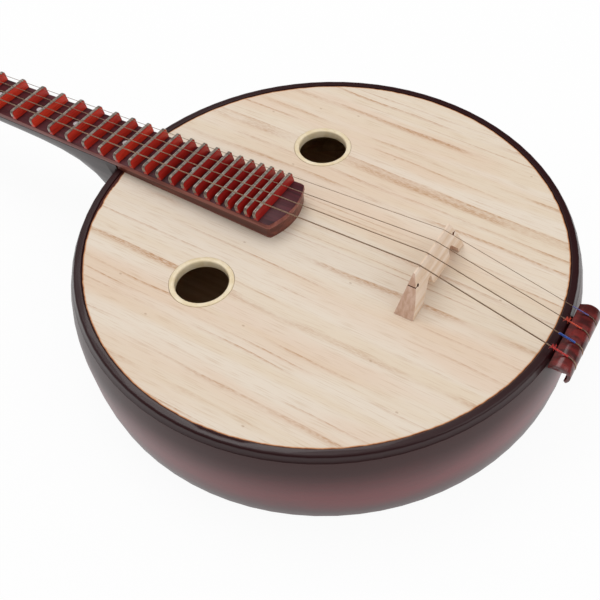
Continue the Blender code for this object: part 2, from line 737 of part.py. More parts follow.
def winding_points(index):
    """A helix on the peg's shaft, with a short straight run at each end."""
    diameter = STRING_DIAMETERS[index]
    offset, grow = post_place(index)
    side = PEG_SIDES[index]
    pitch = diameter + WINDING_STEP
    radius = SHAFT_RADIUS + GAP + diameter / 2
    first = (offset + grow * pitch) * side
    points = []
    for i in range(WINDING_TURN_COUNT * LOOP_POINTS + 1):
        angle = 2 * math.pi * i / LOOP_POINTS
        along = first + grow * side * pitch * i / LOOP_POINTS
        points.append(Vector((radius * math.cos(angle), radius * math.sin(angle), along)))
    points.insert(0, points[0] + (points[0] - points[1]).normalized() * diameter)
    points.append(points[-1] + (points[-1] - points[-2]).normalized() * diameter)
    return points


def least_gap(points, diameter):
    """Least clear distance between two turns of a winding."""
    least = math.inf
    for i, first in enumerate(points):
        for second in points[i + LOOP_POINTS // 2:]:
            least = min(least, (first - second).length - diameter)
    return least


def make_pegs(head_frame):
    """Four fluted tuning pegs, each on its own axis, with its winding."""
    wood = finish("peg_wood", (0.05, 0.012, 0.012), 0.35)
    wire = finish("winding_wire", (0.55, 0.53, 0.50), 0.35, 1.0)
    for index, distance in enumerate(PEG_DISTANCES):
        number = index + 1
        side = PEG_SIDES[index]
        axis = frame("peg_%d_axis" % number, (0, distance, -PEG_DEPTH), 0, head_frame)
        axis.rotation_euler = (0, side * math.pi / 2, 0)
        cheek = head_half_width(distance - COLLAR_RADIUS)
        seat = cheek + GAP
        tip = seat + KNOB_LENGTH
        tail = cheek + SHAFT_PROUD
        profile = [(0, tip), (KNOB_CROWN_RADIUS, tip - KNOB_CROWN),
                   (KNOB_SHOULDER_RADIUS, tip - KNOB_SHOULDER), (KNOB_RADIUS, tip - KNOB_WIDEST),
                   (KNOB_SHOULDER_RADIUS, tip - KNOB_LOWER), (PEG_WAIST_RADIUS, seat + PEG_WAIST),
                   (COLLAR_RADIUS, seat + COLLAR_HEIGHT), (COLLAR_RADIUS, seat), (SHAFT_RADIUS, seat),
                   (SHAFT_RADIUS, -tail), (SHAFT_TIP_RADIUS, -tail - SHAFT_TIP), (0, -tail - SHAFT_TIP)]
        peg = turned("peg_%d" % number, profile, PEG_STEPS, wood, axis)
        ring = KNOB_RADIUS + FLUTE_RADIUS - FLUTE_DEPTH
        length = 2 * KNOB_LENGTH
        centres = []
        for i in range(FLUTE_COUNT):
            angle = 2 * math.pi * i / FLUTE_COUNT
            centres.append((ring * math.cos(angle), ring * math.sin(angle), seat + FLUTE_START + length / 2))
        boolean(peg, rods("peg_%d_flutes" % number, centres, FLUTE_RADIUS, length, "Z",
                          FLUTE_SIDES, axis))
        points = winding_points(index)
        tube("string_%d_winding" % number, points, STRING_DIAMETERS[index], 1, wire, axis)
        clear = least_gap(points, STRING_DIAMETERS[index]) / mm
        print("winding %d: least gap between turns %.2f mm" % (number, clear))


def bridge_opening():
    """Outline of the opening: low in the middle, with a round topped horn inside each foot."""
    right = []
    for i in range(TONGUE_POINTS + 1):
        angle = math.pi / 2 * i / TONGUE_POINTS
        right.append((TONGUE_HALF - TONGUE_ROUND * (1 - math.sin(angle)),
                      TONGUE_HEIGHT + TONGUE_ROUND * (1 - math.cos(angle))))
    for i in range(HORN_POINTS + 1):
        angle = math.pi - HORN_TURN * i / HORN_POINTS
        right.append((TONGUE_HALF + HORN_RADIUS * (1 + math.cos(angle)),
                      HORN_HEIGHT + HORN_RADIUS * math.sin(angle)))
    right += [(OPENING_KNEE_HALF, OPENING_KNEE_HEIGHT), (OPENING_HALF, -2 * GAP)]
    left = [(-x, z) for x, z in reversed(right)]
    return [(x + OPENING_SHIFT, z) for x, z in left + right]


def bridge_side():
    """Outline of the bridge from its end: an upright head side and a round tail side."""
    side = [(BRIDGE_FRONT, -GAP), (RIDGE_HALF, BRIDGE_HEIGHT + GAP)]
    for i in range(BULGE_STEPS + 1):
        share = 1 - i / BULGE_STEPS
        reach = BRIDGE_BACK + (RIDGE_HALF - BRIDGE_BACK) * share + 4 * BRIDGE_BULGE * share * (1 - share)
        side.append((-reach, -GAP + (BRIDGE_HEIGHT + 2 * GAP) * share))
    return side


def make_bridge():
    """The pale bridge: two feet, a horned opening, a round back and slit ends."""
    half_base = BRIDGE_HALF_BASE
    through = 4 * (BRIDGE_FRONT + BRIDGE_BACK)
    front = [(-half_base, 0), (half_base, 0), (BRIDGE_HALF_TOP, BRIDGE_HEIGHT),
             (-BRIDGE_HALF_TOP, BRIDGE_HEIGHT)]
    bridge = prism("bridge", front, through, "XZ", finish("bridge_maple", (0.72, 0.58, 0.40), 0.5))
    place = (0, BRIDGE_LINE_Y, BODY_DEPTH + GAP)
    bridge.location = place
    shape = prism("bridge_side_guide", bridge_side(), 4 * half_base, "YZ")
    shape.location = place
    boolean(bridge, shape, "INTERSECT")
    opening = prism("bridge_opening_cutter", bridge_opening(), through, "XZ")
    opening.location = place
    boolean(bridge, opening)
    holes = rods("bridge_end_hole_cutter", [(side * END_HOLE_X, 0, END_HOLE_HEIGHT) for side in (-1, 1)],
                 END_HOLE_RADIUS, through, "Y", END_HOLE_STEPS)
    holes.location = place
    boolean(bridge, holes)
    for side_sign, name in ((-1, "left"), (1, "right")):
        ends = sorted((side_sign * END_HOLE_X, side_sign * half_base))
        slit = box("bridge_slit_" + name + "_cutter",
                   (ends[0], -through / 2, END_HOLE_HEIGHT - END_SLIT / 2),
                   (ends[1], through / 2, END_HOLE_HEIGHT + END_SLIT / 2))
        slit.location = place
        boolean(bridge, slit)


def tail_arc(radius, start, end, lift=0.0):
    """Points round the middle of the tailpiece's round, moved up and towards the body by a lift."""
    count = math.ceil((end - start) / TAIL_STEP)
    points = []
    for i in range(count + 1):
        angle = start + (end - start) * i / count
        points.append((TAIL_Y + lift + radius * math.cos(angle),
                       TAIL_HEIGHT + lift + radius * math.sin(angle)))
    return points


def make_tailpiece():
    """A round hood against the side of the body, with a groove for each string."""
    lip = Vector((-(RIM_RADIUS + TAIL_LIP_GAP), BODY_DEPTH + TAIL_LIP_RISE))
    way = lip - Vector((TAIL_Y, TAIL_HEIGHT))
    start = math.atan2(way.y, way.x) + math.acos(TAIL_RADIUS / way.length)
    low = TAIL_HEIGHT - TAIL_RADIUS
    inside = TAIL_RADIUS - RIM_RADIUS
    shoulder = BODY_DEPTH - TAIL_LIP_DEPTH
    outline = [tuple(lip)] + tail_arc(TAIL_RADIUS, start, 1.5 * math.pi)
    outline += [(inside, low), (inside, shoulder), (lip.x, shoulder)]
    hood = prism("tailpiece", outline, 2 * TAIL_HALF_LENGTH, "YZ",
                 finish("tail_lacquer", (0.10, 0.012, 0.014), 0.25))
    boolean(hood, body_envelope("tailpiece_seat_cutter"))
    inner = tail_arc(TAIL_RADIUS - TAIL_WALL, start, TAIL_HOOD_END)
    outer = tail_arc(TAIL_RADIUS + TAIL_WALL, start, TAIL_HOOD_END)
    slope = lip - Vector(tail_arc(TAIL_RADIUS, start, TAIL_HOOD_END)[0])
    beyond = Vector(inner[0]) + 2 * slope
    hollow = [tuple(beyond)] + inner + [outer[-1], (outer[-1][0], low - TAIL_WALL), (beyond.x, low - TAIL_WALL)]
    depth = TAIL_HALF_LENGTH - TAIL_CORE_HALF + TAIL_WALL
    for side, name in ((-1, "left"), (1, "right")):
        cutter = prism("tailpiece_hollow_" + name + "_cutter", hollow, depth, "YZ")
        cutter.location = (side * (TAIL_CORE_HALF + depth / 2), 0, 0)
        boolean(hood, cutter)
    for index in range(STRING_COUNT):
        offset = string_offset(index, SPACING_AT_TAIL)
        arc = tail_arc(TAIL_RADIUS + GAP, GROOVE_START, GROOVE_END, GROOVE_LIFT)
        guide = tube("groove_%d_guide" % (index + 1), [(offset, y, z) for y, z in arc],
                     2 * GROOVE_RADIUS, 1, None)
        boolean(hood, add("groove_%d_cutter" % (index + 1), welded_mesh(guide)))


def string_points(index):
    """A string's way from under the tailpiece over bridge and nut to its peg."""
    diameter = STRING_DIAMETERS[index]
    lift = diameter / 2 + GAP
    ridge = Vector((string_offset(index, SPACING_AT_BRIDGE), BRIDGE_LINE_Y, BRIDGE_TOP + lift + GAP))
    radius = TAIL_RADIUS + GAP
    offset = string_offset(index, SPACING_AT_TAIL)
    way = Vector((ridge.y - TAIL_Y - GROOVE_LIFT, ridge.z - TAIL_HEIGHT - GROOVE_LIFT))
    leave = math.atan2(way.y, way.x) + math.acos(radius / way.length)
    wrap = tail_arc(radius, leave, leave + TAIL_WRAP, GROOVE_LIFT)
    points = [Vector((offset, y, z)) for y, z in reversed(wrap)]
    points.append(ridge)
    nut = Vector((string_offset(index, SPACING_AT_NUT), SCALE_LENGTH + NUT_FLAT / 2, NUT_STRING_HEIGHT))
    points.append(neck_frame_matrix() @ nut)
    post_x = post_place(index)[0]
    post = Vector((post_x, PEG_DISTANCES[index], -PEG_DEPTH + SHAFT_RADIUS + lift + GAP))
    points.append(head_frame_matrix() @ post)
    return points


def make_strings():
    """The four strings at their full length."""
    material = finish("string_wire", (0.45, 0.42, 0.38), 0.35, 1.0)
    for index in range(STRING_COUNT):
        tube("string_%d" % (index + 1), string_points(index), STRING_DIAMETERS[index], 2, material)


def main():
    """Build the whole instrument."""
    make_side_frame()
    make_linings()
    make_rim_binding()
    make_soundboard()
    make_sound_hole_rings()
    make_back_plate()
    make_inside()
    neck_place = neck_frame_matrix()
    neck_frame = frame("neck_frame", neck_place.translation, -NECK_TILT)
    head_frame = frame("head_frame", (0, NECK_END + 2 * GAP, NECK_TOP), -HEAD_ANGLE, neck_frame)
    make_fingerboard(neck_frame)
    make_frets(neck_frame)
    make_neck(neck_frame)
    make_nut(neck_frame)
    make_peg_box(head_frame, neck_frame)
    make_head_ornament(head_frame)
    make_pegs(head_frame)
    make_bridge()
    make_tailpiece()
    make_strings()


main()
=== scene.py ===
# %% [markdown]
# Zhongruan: the looks of a plucked lute
#
# A zhongruan is a round, hollow lute with a long fretted neck. Its solids come packed as a
# fixed frame, in metres, with the back on the floor and the neck along +Y. This lesson gives
# them their finish: stained and lacquered hardwood, a bare pale soundboard, red frets with
# metal strips, wound strings and silk. It also adds what is too fine for the solids.

import json
import math

import bmesh
import bpy
from mathutils import Matrix, Vector

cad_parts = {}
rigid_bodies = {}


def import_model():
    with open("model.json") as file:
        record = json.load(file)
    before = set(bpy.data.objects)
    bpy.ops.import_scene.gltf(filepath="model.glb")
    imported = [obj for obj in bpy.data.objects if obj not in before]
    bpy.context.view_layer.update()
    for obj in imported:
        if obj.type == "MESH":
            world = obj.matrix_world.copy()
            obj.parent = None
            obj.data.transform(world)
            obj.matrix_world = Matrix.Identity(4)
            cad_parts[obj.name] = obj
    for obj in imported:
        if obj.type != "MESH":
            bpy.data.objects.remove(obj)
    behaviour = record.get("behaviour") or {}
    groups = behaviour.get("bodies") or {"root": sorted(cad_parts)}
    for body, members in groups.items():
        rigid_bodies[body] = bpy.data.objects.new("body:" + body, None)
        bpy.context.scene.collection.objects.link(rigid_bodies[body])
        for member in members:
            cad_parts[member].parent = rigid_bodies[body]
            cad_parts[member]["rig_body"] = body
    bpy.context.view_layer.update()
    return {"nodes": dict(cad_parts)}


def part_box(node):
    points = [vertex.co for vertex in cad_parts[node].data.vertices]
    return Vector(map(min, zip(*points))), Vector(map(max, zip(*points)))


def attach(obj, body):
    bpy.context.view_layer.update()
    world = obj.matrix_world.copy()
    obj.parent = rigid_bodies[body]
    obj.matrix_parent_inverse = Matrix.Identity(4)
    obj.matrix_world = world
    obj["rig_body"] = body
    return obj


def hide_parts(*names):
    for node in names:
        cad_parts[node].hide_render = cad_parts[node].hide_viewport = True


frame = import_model()
MM = 0.001
print("frame loaded with", len(frame["nodes"]), "pieces")

# %% [markdown]
# The camera
#
# The photograph looks down on the soundboard from the bass side, over the tail. The
# camera's place, its turn and its focal length were worked out from the round rim, the two
# sound holes and the frets. A small shift of the lens matches how the picture was cropped.

# %% Camera
CAMERA_PLACE = Vector((-0.3982, -0.2654, 0.5897))
CAMERA_AZIMUTH = math.radians(-63.40)
CAMERA_ELEVATION = math.radians(53.52)
CAMERA_ROLL = math.radians(2.06)
SENSOR = 36.0
FRAME_PIXELS = 600
FOCAL_PIXELS = 815.5
CENTRE_PIXEL = (396.2, 334.6)


def place_camera():
    """Set up the camera at the photograph's viewing angle."""
    data = bpy.data.cameras.new("photo_camera")
    data.sensor_width = SENSOR
    data.lens = FOCAL_PIXELS / FRAME_PIXELS * SENSOR
    data.shift_x = (FRAME_PIXELS / 2 - CENTRE_PIXEL[0]) / FRAME_PIXELS
    data.shift_y = (CENTRE_PIXEL[1] - FRAME_PIXELS / 2) / FRAME_PIXELS
    data.clip_start = 0.01
    camera = bpy.data.objects.new("photo_camera", data)
    bpy.context.scene.collection.objects.link(camera)
    flat = math.cos(CAMERA_ELEVATION)
    back = Vector((math.sin(CAMERA_AZIMUTH) * flat, -math.cos(CAMERA_AZIMUTH) * flat,
                   math.sin(CAMERA_ELEVATION)))
    right = Vector((0, 0, 1)).cross(back).normalized()
    turn = Matrix((right, back.cross(right), back)).transposed().to_4x4()
    camera.matrix_world = Matrix.Translation(CAMERA_PLACE) @ turn @ Matrix.Rotation(CAMERA_ROLL, 4, "Z")
    bpy.context.scene.camera = camera
    return camera


camera = place_camera()
print("camera lens %.1f mm" % camera.data.lens)

# %% [markdown]
# Two small helpers for every node tree
#
# A colour is written as it looks on a screen, as an sRGB hex value, but Blender computes with
# linear light, so one function turns the first into the second. The other adds one node with
# its settings and its links. Both serve materials and Geometry Nodes alike.

# %% Helpers for node trees


def linear(code):
    """Turn an sRGB hex colour into a linear one."""
    parts = [int(code[i:i + 2], 16) / 255 for i in (1, 3, 5)]
    return tuple(c / 12.92 if c <= 0.04045 else ((c + 0.055) / 1.055) ** 2.4 for c in parts) + (1.0,)


def put(tree, kind, values=None, **settings):
    """Add a node with its settings; values fill its inputs, or link them to a node or a socket."""
    node = tree.nodes.new(kind)
    for name, value in settings.items():
        setattr(node, name, value)
    for name, value in (values or {}).items():
        for source in value if isinstance(value, list) else [value]:
            if isinstance(source, bpy.types.Node):
                source = next(socket for socket in source.outputs if socket.enabled)
            if isinstance(source, bpy.types.NodeSocket):
                tree.links.new(source, node.inputs[name])
            else:
                node.inputs[name].default_value = source
    return node


print("helpers ready")

# %% [markdown]
# Floor and studio light
#
# The instrument lies on a plain white floor. A product photograph lights it with large soft
# lamps: one key lamp beyond the head gives the soft shadows beside the fingerboard and behind
# the bridge, and a weak one fills them. The Light Path node makes the floor and the sky white
# for the camera only. Gloss sees a dark room with a bright ceiling, as a real studio has,
# because lacquer looks dark and deep only when there is something dark to reflect.

# %% Floor
FLOOR_SIZE = 6.0
FLOOR_GLOW = 0.93


def make_floor():
    """A wide white floor that keeps a faint shadow."""
    bpy.ops.mesh.primitive_plane_add(size=FLOOR_SIZE, location=(0, 0.2, 0))
    floor = bpy.context.object
    floor.name = "floor"
    material = bpy.data.materials.new("white_studio_floor")
    material.use_nodes = True
    tree = material.node_tree
    tree.nodes.clear()
    path = put(tree, "ShaderNodeLightPath")
    seen = put(tree, "ShaderNodeMath", {0: path.outputs["Is Camera Ray"], 1: path.outputs["Is Glossy Ray"]},
               operation="MAXIMUM")
    seen = put(tree, "ShaderNodeMath", {0: seen.outputs[0], 1: path.outputs["Is Transmission Ray"]},
               operation="MAXIMUM")
    amount = put(tree, "ShaderNodeMath", {0: seen.outputs[0], 1: FLOOR_GLOW}, operation="MULTIPLY")
    matt = put(tree, "ShaderNodeBsdfDiffuse", {"Color": (0.9, 0.9, 0.9, 1)})
    glow = put(tree, "ShaderNodeEmission", {"Color": (1, 1, 1, 1), "Strength": 1.0})
    mix = put(tree, "ShaderNodeMixShader", {0: amount.outputs[0], 1: matt.outputs[0], 2: glow.outputs[0]})
    put(tree, "ShaderNodeOutputMaterial", {"Surface": mix.outputs[0]})
    floor.data.materials.append(material)


make_floor()
print("floor", FLOOR_SIZE, "m wide")

# %% World
SKY_LIGHT = 0.70
CEILING = (0.70, 1.0)
CEILING_GLOSS = 0.55
ROOM_GLOSS = 0.04
WINDOW_GLOSS = 0.30


def make_world():
    """White for the camera, even for matt surfaces, and a dark room with a pale ceiling for gloss."""
    world = bpy.data.worlds.new("studio")
    world.use_nodes = True
    bpy.context.scene.world = world
    tree = world.node_tree
    tree.nodes.clear()
    path = put(tree, "ShaderNodeLightPath")
    way = put(tree, "ShaderNodeTexCoord").outputs["Generated"]
    part = put(tree, "ShaderNodeSeparateXYZ", {0: way})
    ceiling = put(tree, "ShaderNodeMapRange", {
        0: part.outputs["Z"], 1: CEILING[0], 2: CEILING[1], 3: ROOM_GLOSS,
                                               4: CEILING_GLOSS}, interpolation_type="SMOOTHSTEP")
    window = put(tree, "ShaderNodeMapRange", {
        0: part.outputs["Y"], 1: 0.45, 2: 0.85, 3: 0.0, 4: WINDOW_GLOSS},
                 interpolation_type="SMOOTHSTEP")
    gloss = put(tree, "ShaderNodeMath", {0: ceiling.outputs[0], 1: window.outputs[0]}, operation="ADD")
    lit = put(tree, "ShaderNodeMix", {0: path.outputs["Is Glossy Ray"], 2: SKY_LIGHT, 3: gloss.outputs[0]})
    seen = put(tree, "ShaderNodeMath", {
        0: path.outputs["Is Camera Ray"], 1: path.outputs["Is Transmission Ray"]},
               operation="MAXIMUM")
    strength = put(tree, "ShaderNodeMix", {0: seen.outputs[0], 2: lit.outputs[0], 3: 1.0})
    sky = put(tree, "ShaderNodeBackground", {"Color": (1, 1, 1, 1), "Strength": strength.outputs[0]})
    put(tree, "ShaderNodeOutputWorld", {"Surface": sky.outputs[0]})


make_world()
print("world light", SKY_LIGHT)

# %% Lamps


def make_lamp(name, place, target, size, watts):
    """A soft square lamp that points at a target."""
    data = bpy.data.lights.new(name, "AREA")
    data.size = size
    data.energy = watts
    lamp = bpy.data.objects.new(name, data)
    lamp.location = place
    lamp.rotation_euler = (Vector(target) - Vector(place)).to_track_quat("-Z", "Y").to_euler()
    bpy.context.scene.collection.objects.link(lamp)


make_lamp("key_lamp", (0.55, 0.95, 2.1), (0, 0, 0.05), 1.3, 15)
make_lamp("fill_lamp", (0.2, -1.6, 1.5), (0, 0, 0.05), 1.4, 7)
bpy.context.scene.view_settings.view_transform = "Standard"
print("lamps:", len(bpy.data.lights))

# %% [markdown]
# Bare soundboard wood
#
# The soundboard is paulownia, a very light wood, glued up from strips and scraped smooth
# without any varnish. The eye sees a pinkish cream board with thin tan lines of late wood
# along the neck, 8 to 25 mm apart, faint pink clouds, and the fine marks of the scraper.
# The place across the board, moved a little by stretched noise, is divided by the width of a
# ring. Its fraction grows through each ring and then drops, so a line is soft on one side and
# sharp on the other. Where the lacquer of the rim was brushed past the edge, it has stained
# the bare wood orange.

# %% Sizes of the soundboard's grain
RING_SPACING = 15 * MM
RING_DRIFT = 5 * MM
BOARD_EDGE = 203.0 * MM
STAIN_WIDTH = 0.8 * MM
STAIN_SPOT = (-48 * MM, 198 * MM, 0)
RGBA = {"data_type": "RGBA"}
SOFT = {"interpolation_type": "SMOOTHSTEP"}


def cells(x, y, z):
    """The Mapping scale at which one cell of a pattern is x by y by z millimetres."""
    return 1 / (x * MM), 1 / (y * MM), 1 / (z * MM)


def new_material(name, **surface):
    """Start a material from a Principled BSDF with constants on its own sockets."""
    material = bpy.data.materials.new(name)
    material.use_nodes = True
    tree = material.node_tree
    shader = tree.nodes["Principled BSDF"]
    for socket, value in surface.items():
        shader.inputs[socket.replace("_", " ")].default_value = value
    return material, tree, shader, put(tree, "ShaderNodeTexCoord").outputs["Object"]


print("annual rings about %.0f mm apart" % (RING_SPACING / MM))

# %% Lines of late wood


def ring_lines(tree, place):
    """Thin lines along Y, unevenly spaced, sharp on one side and soft on the other."""
    drift = put(tree, "ShaderNodeMapping", {"Vector": place, "Scale": cells(120, 260, 120)})
    drift = put(tree, "ShaderNodeTexNoise", {"Vector": drift, "Scale": 1.0, "Detail": 2.0})
    across = put(tree, "ShaderNodeSeparateXYZ", {0: place}).outputs["X"]
    across = put(tree, "ShaderNodeMath", {0: drift, 1: 4 * RING_DRIFT, 2: across}, operation="MULTIPLY_ADD")
    count = put(tree, "ShaderNodeMath", {0: across, 1: RING_SPACING}, operation="DIVIDE")
    uneven = put(tree, "ShaderNodeTexNoise", {"W": count, "Scale": 0.5, "Detail": 1.0}, noise_dimensions="1D")
    count = put(tree, "ShaderNodeMath", {0: uneven, 1: 3.2, 2: count}, operation="MULTIPLY_ADD")
    phase = put(tree, "ShaderNodeMath", {0: count}, operation="FRACT")
    rise = put(tree, "ShaderNodeMapRange", {0: phase, 1: 0.55, 2: 0.95}, **SOFT)
    fall = put(tree, "ShaderNodeMapRange", {0: phase, 1: 0.95, 2: 0.99, 3: 1.0, 4: 0.0}, **SOFT)
    line = put(tree, "ShaderNodeMath", {0: rise, 1: 3.0}, operation="POWER")
    line = put(tree, "ShaderNodeMath", {0: line, 1: fall}, operation="MULTIPLY")
    patch = put(tree, "ShaderNodeMapping", {"Vector": place, "Scale": cells(16, 110, 16)})
    patch = put(tree, "ShaderNodeTexNoise", {"Vector": patch, "Scale": 1.0, "Detail": 3.0})
    patch = put(tree, "ShaderNodeMapRange", {0: patch, 1: 0.38, 2: 0.68}, **SOFT)
    line = put(tree, "ShaderNodeMath", {0: line, 1: patch}, operation="MULTIPLY")
    grit = put(tree, "ShaderNodeMapping", {"Vector": place, "Scale": cells(0.8, 5, 1)})
    grit = put(tree, "ShaderNodeTexNoise", {"Vector": grit, "Scale": 1.0, "Detail": 2.0})
    grit = put(tree, "ShaderNodeMapRange", {0: grit, 1: 0.35, 2: 0.62, 3: 0.35, 4: 1.0}, **SOFT)
    return put(tree, "ShaderNodeMath", {0: line, 1: grit}, operation="MULTIPLY")


print("late wood lines fade in over half of each ring")

# %% Stain at the soundboard's edge


def edge_distance(tree, place):
    """Distance past the ragged line where the rim's lacquer was brushed onto the bare wood."""
    flat = put(tree, "ShaderNodeVectorMath", {0: place, 1: (1, 1, 0)}, operation="MULTIPLY")
    radius = put(tree, "ShaderNodeVectorMath", {0: flat}, operation="LENGTH")
    near = put(tree, "ShaderNodeVectorMath", {0: flat, 1: STAIN_SPOT}, operation="DISTANCE")
    wide = put(tree, "ShaderNodeMapRange", {0: near, 1: 6 * MM, 2: 42 * MM, 3: 3.4 * MM, 4: 0.0}, **SOFT)
    wide = put(tree, "ShaderNodeMath", {0: wide, 1: 2 * STAIN_WIDTH}, operation="ADD")
    ragged = put(tree, "ShaderNodeTexNoise", {"Vector": place, "Scale": 110.0, "Detail": 3.0})
    reach = put(tree, "ShaderNodeMath", {0: ragged, 1: wide}, operation="MULTIPLY")
    past = put(tree, "ShaderNodeMath", {0: radius, 1: reach}, operation="ADD")
    return put(tree, "ShaderNodeMath", {0: past, 1: BOARD_EDGE}, operation="SUBTRACT")


print("stain line %.1f mm wide" % (STAIN_WIDTH / MM))

# %% Soundboard material


def soundboard_paulownia():
    """Paulownia, scraped and bare: pinkish cream, thin tan grain lines, a stained edge."""
    material, tree, shader, place = new_material(
        "paulownia_scraped_bare", Roughness=0.62, Specular_IOR_Level=0.3)
    warm = put(tree, "ShaderNodeMapping", {"Vector": place, "Scale": cells(15, 420, 15)})
    warm = put(tree, "ShaderNodeTexNoise", {"Vector": warm, "Scale": 1.0, "Detail": 3.0, "Distortion": 0.1})
    warm = put(tree, "ShaderNodeMapRange", {0: warm, 1: 0.38, 2: 0.66, 3: 0.0, 4: 0.45}, **SOFT)
    base = put(tree, "ShaderNodeMix", {0: warm, 6: linear("#e5d7c6"), 7: linear("#dec8aa")}, **RGBA)
    pink = put(tree, "ShaderNodeMapping", {"Vector": place, "Scale": cells(32, 260, 32)})
    pink = put(tree, "ShaderNodeTexNoise", {"Vector": pink, "Scale": 1.0, "Detail": 2.0, "Distortion": 0.3})
    pink = put(tree, "ShaderNodeMapRange", {0: pink, 1: 0.46, 2: 0.70, 3: 0.0, 4: 0.45}, **SOFT)
    base = put(tree, "ShaderNodeMix", {0: pink, 6: base, 7: linear("#dfc0a6")}, **RGBA)
    lines = ring_lines(tree, place)
    amount = put(tree, "ShaderNodeMath", {0: lines, 1: 1.0}, operation="MULTIPLY", use_clamp=True)
    base = put(tree, "ShaderNodeMix", {0: amount, 6: base, 7: linear("#b98a62")}, **RGBA)
    fine = put(tree, "ShaderNodeMapping", {"Vector": place, "Scale": cells(0.9, 26, 2)})
    fine = put(tree, "ShaderNodeTexNoise", {"Vector": fine, "Scale": 1.0, "Detail": 2.0})
    amount = put(tree, "ShaderNodeMapRange", {0: fine, 1: 0.48, 2: 0.78, 3: 0.0, 4: 0.40}, **SOFT)
    base = put(tree, "ShaderNodeMix", {0: amount, 6: base, 7: linear("#c2a17c")}, **RGBA)
    knots = put(tree, "ShaderNodeMapping", {"Vector": place, "Scale": cells(70, 120, 70)})
    knots = put(tree, "ShaderNodeTexVoronoi", {"Vector": knots, "Scale": 1.0}, voronoi_dimensions="2D")
    amount = put(tree, "ShaderNodeMapRange", {0: knots, 1: 0.006, 2: 0.014, 3: 0.40, 4: 0.0}, **SOFT)
    base = put(tree, "ShaderNodeMix", {0: amount, 6: base, 7: linear("#9a7048")}, **RGBA)
    past = edge_distance(tree, place)
    amount = put(tree, "ShaderNodeMapRange", {0: past, 1: -0.9 * MM, 2: 0.2 * MM}, **SOFT)
    base = put(tree, "ShaderNodeMix", {0: amount, 6: base, 7: linear("#c98650")}, **RGBA)
    amount = put(tree, "ShaderNodeMapRange", {0: past, 1: 0.1 * MM, 2: 0.6 * MM}, **SOFT)
    base = put(tree, "ShaderNodeMix", {0: amount, 6: base, 7: linear("#4d1a12")}, **RGBA)
    tree.links.new(base.outputs[2], shader.inputs["Base Color"])
    scraped = put(tree, "ShaderNodeMapping", {"Vector": place, "Scale": cells(1.2, 9, 1.2)})
    scraped = put(tree, "ShaderNodeTexNoise", {"Vector": scraped, "Scale": 1.0, "Detail": 3.0})
    height = put(tree, "ShaderNodeMath", {0: scraped, 1: lines}, operation="SUBTRACT")
    bump = put(tree, "ShaderNodeBump", {"Height": height, "Strength": 0.16, "Distance": 0.3 * MM})
    tree.links.new(bump.outputs[0], shader.inputs["Normal"])
    return material


SOUNDBOARD = soundboard_paulownia()
print("material", SOUNDBOARD.name)

# %% [markdown]
# Stained and lacquered hardwood
#
# The side and the rim are hardwood, stained dark red and sprayed with a clear lacquer that
# was rubbed to a shine. The side's colour follows the height: darker low down, red in the
# middle and darkest towards the rim. The lacquer is a clear coat over the wood: its own layer
# of reflection, as on a real varnish.

# %% Side and rim lacquer
SIDE_TOP = 84 * MM
LACQUER_IOR = 1.52
CLOUD_SHIFT = 22 * MM


def height_graded_lacquer(name, colours, heights, rough, coat):
    """Stained hardwood under clear lacquer; its colour goes from low to top with the height."""
    material, tree, shader, place = new_material(
        name, Roughness=rough, Specular_IOR_Level=0.4, Coat_Weight=coat,
        Coat_Roughness=0.08, Coat_IOR=LACQUER_IOR)
    low, middle, top = [linear(colour) for colour in colours]
    cloud = put(tree, "ShaderNodeMapping", {"Vector": place, "Scale": cells(110, 110, 34)})
    cloud = put(tree, "ShaderNodeTexNoise", {"Vector": cloud, "Scale": 1.0, "Detail": 4.0, "Distortion": 0.7})
    height = put(tree, "ShaderNodeSeparateXYZ", {0: place}).outputs["Z"]
    height = put(tree, "ShaderNodeMath", {0: cloud, 1: CLOUD_SHIFT, 2: height}, operation="MULTIPLY_ADD")
    height = put(tree, "ShaderNodeMath", {0: height, 1: CLOUD_SHIFT / 2}, operation="SUBTRACT")
    amount = put(tree, "ShaderNodeMapRange", {0: height, 1: heights[0], 2: heights[1]}, **SOFT)
    colour = put(tree, "ShaderNodeMix", {0: amount, 6: low, 7: middle}, **RGBA)
    amount = put(tree, "ShaderNodeMapRange", {0: height, 1: heights[1], 2: heights[2]}, **SOFT)
    colour = put(tree, "ShaderNodeMix", {0: amount, 6: colour, 7: top}, **RGBA)
    grain = put(tree, "ShaderNodeMapping", {"Vector": place, "Scale": cells(16, 16, 0.8)})
    grain = put(tree, "ShaderNodeTexNoise", {"Vector": grain, "Scale": 1.0, "Detail": 3.0, "Distortion": 0.3})
    amount = put(tree, "ShaderNodeMapRange", {0: grain, 1: 0.48, 2: 0.78, 3: 0.0, 4: 0.35}, **SOFT)
    colour = put(tree, "ShaderNodeMix", {0: amount, 6: colour, 7: top}, **RGBA)
    tree.links.new(colour.outputs[2], shader.inputs["Base Color"])
    ripple = put(tree, "ShaderNodeTexNoise", {"Vector": place, "Scale": 110.0, "Detail": 2.0})
    bump = put(tree, "ShaderNodeBump", {"Height": ripple, "Strength": 0.05, "Distance": 0.2 * MM})
    tree.links.new(bump.outputs[0], shader.inputs["Normal"])
    return material


# Side colour by height: darker below 8 mm, red at 34 mm, darkest from 74 mm up to the rim.
SIDE = height_graded_lacquer("side_hardwood_stained_lacquered", ("#401418", "#6a1820", "#38100f"),
                        (8 * MM, 34 * MM, 74 * MM), 0.40, 0.12)
RIM = height_graded_lacquer("rim_hardwood_stained_lacquered", ("#341214", "#341214", "#2e1012"),
                       (10 * MM, 20 * MM, 30 * MM), 0.34, 0.15)
print("materials", SIDE.name, RIM.name)

# %% [markdown]
# Plain hardwoods with fine grain
#
# The fingerboard, bridge, neck, pegs and back are each one sort of sanded wood whose grain
# runs along the piece. They differ in colour, in gloss and in how wide the grain is, so one
# function makes them all from those values. Real grain is long one way and narrow the other,
# and so is the noise.

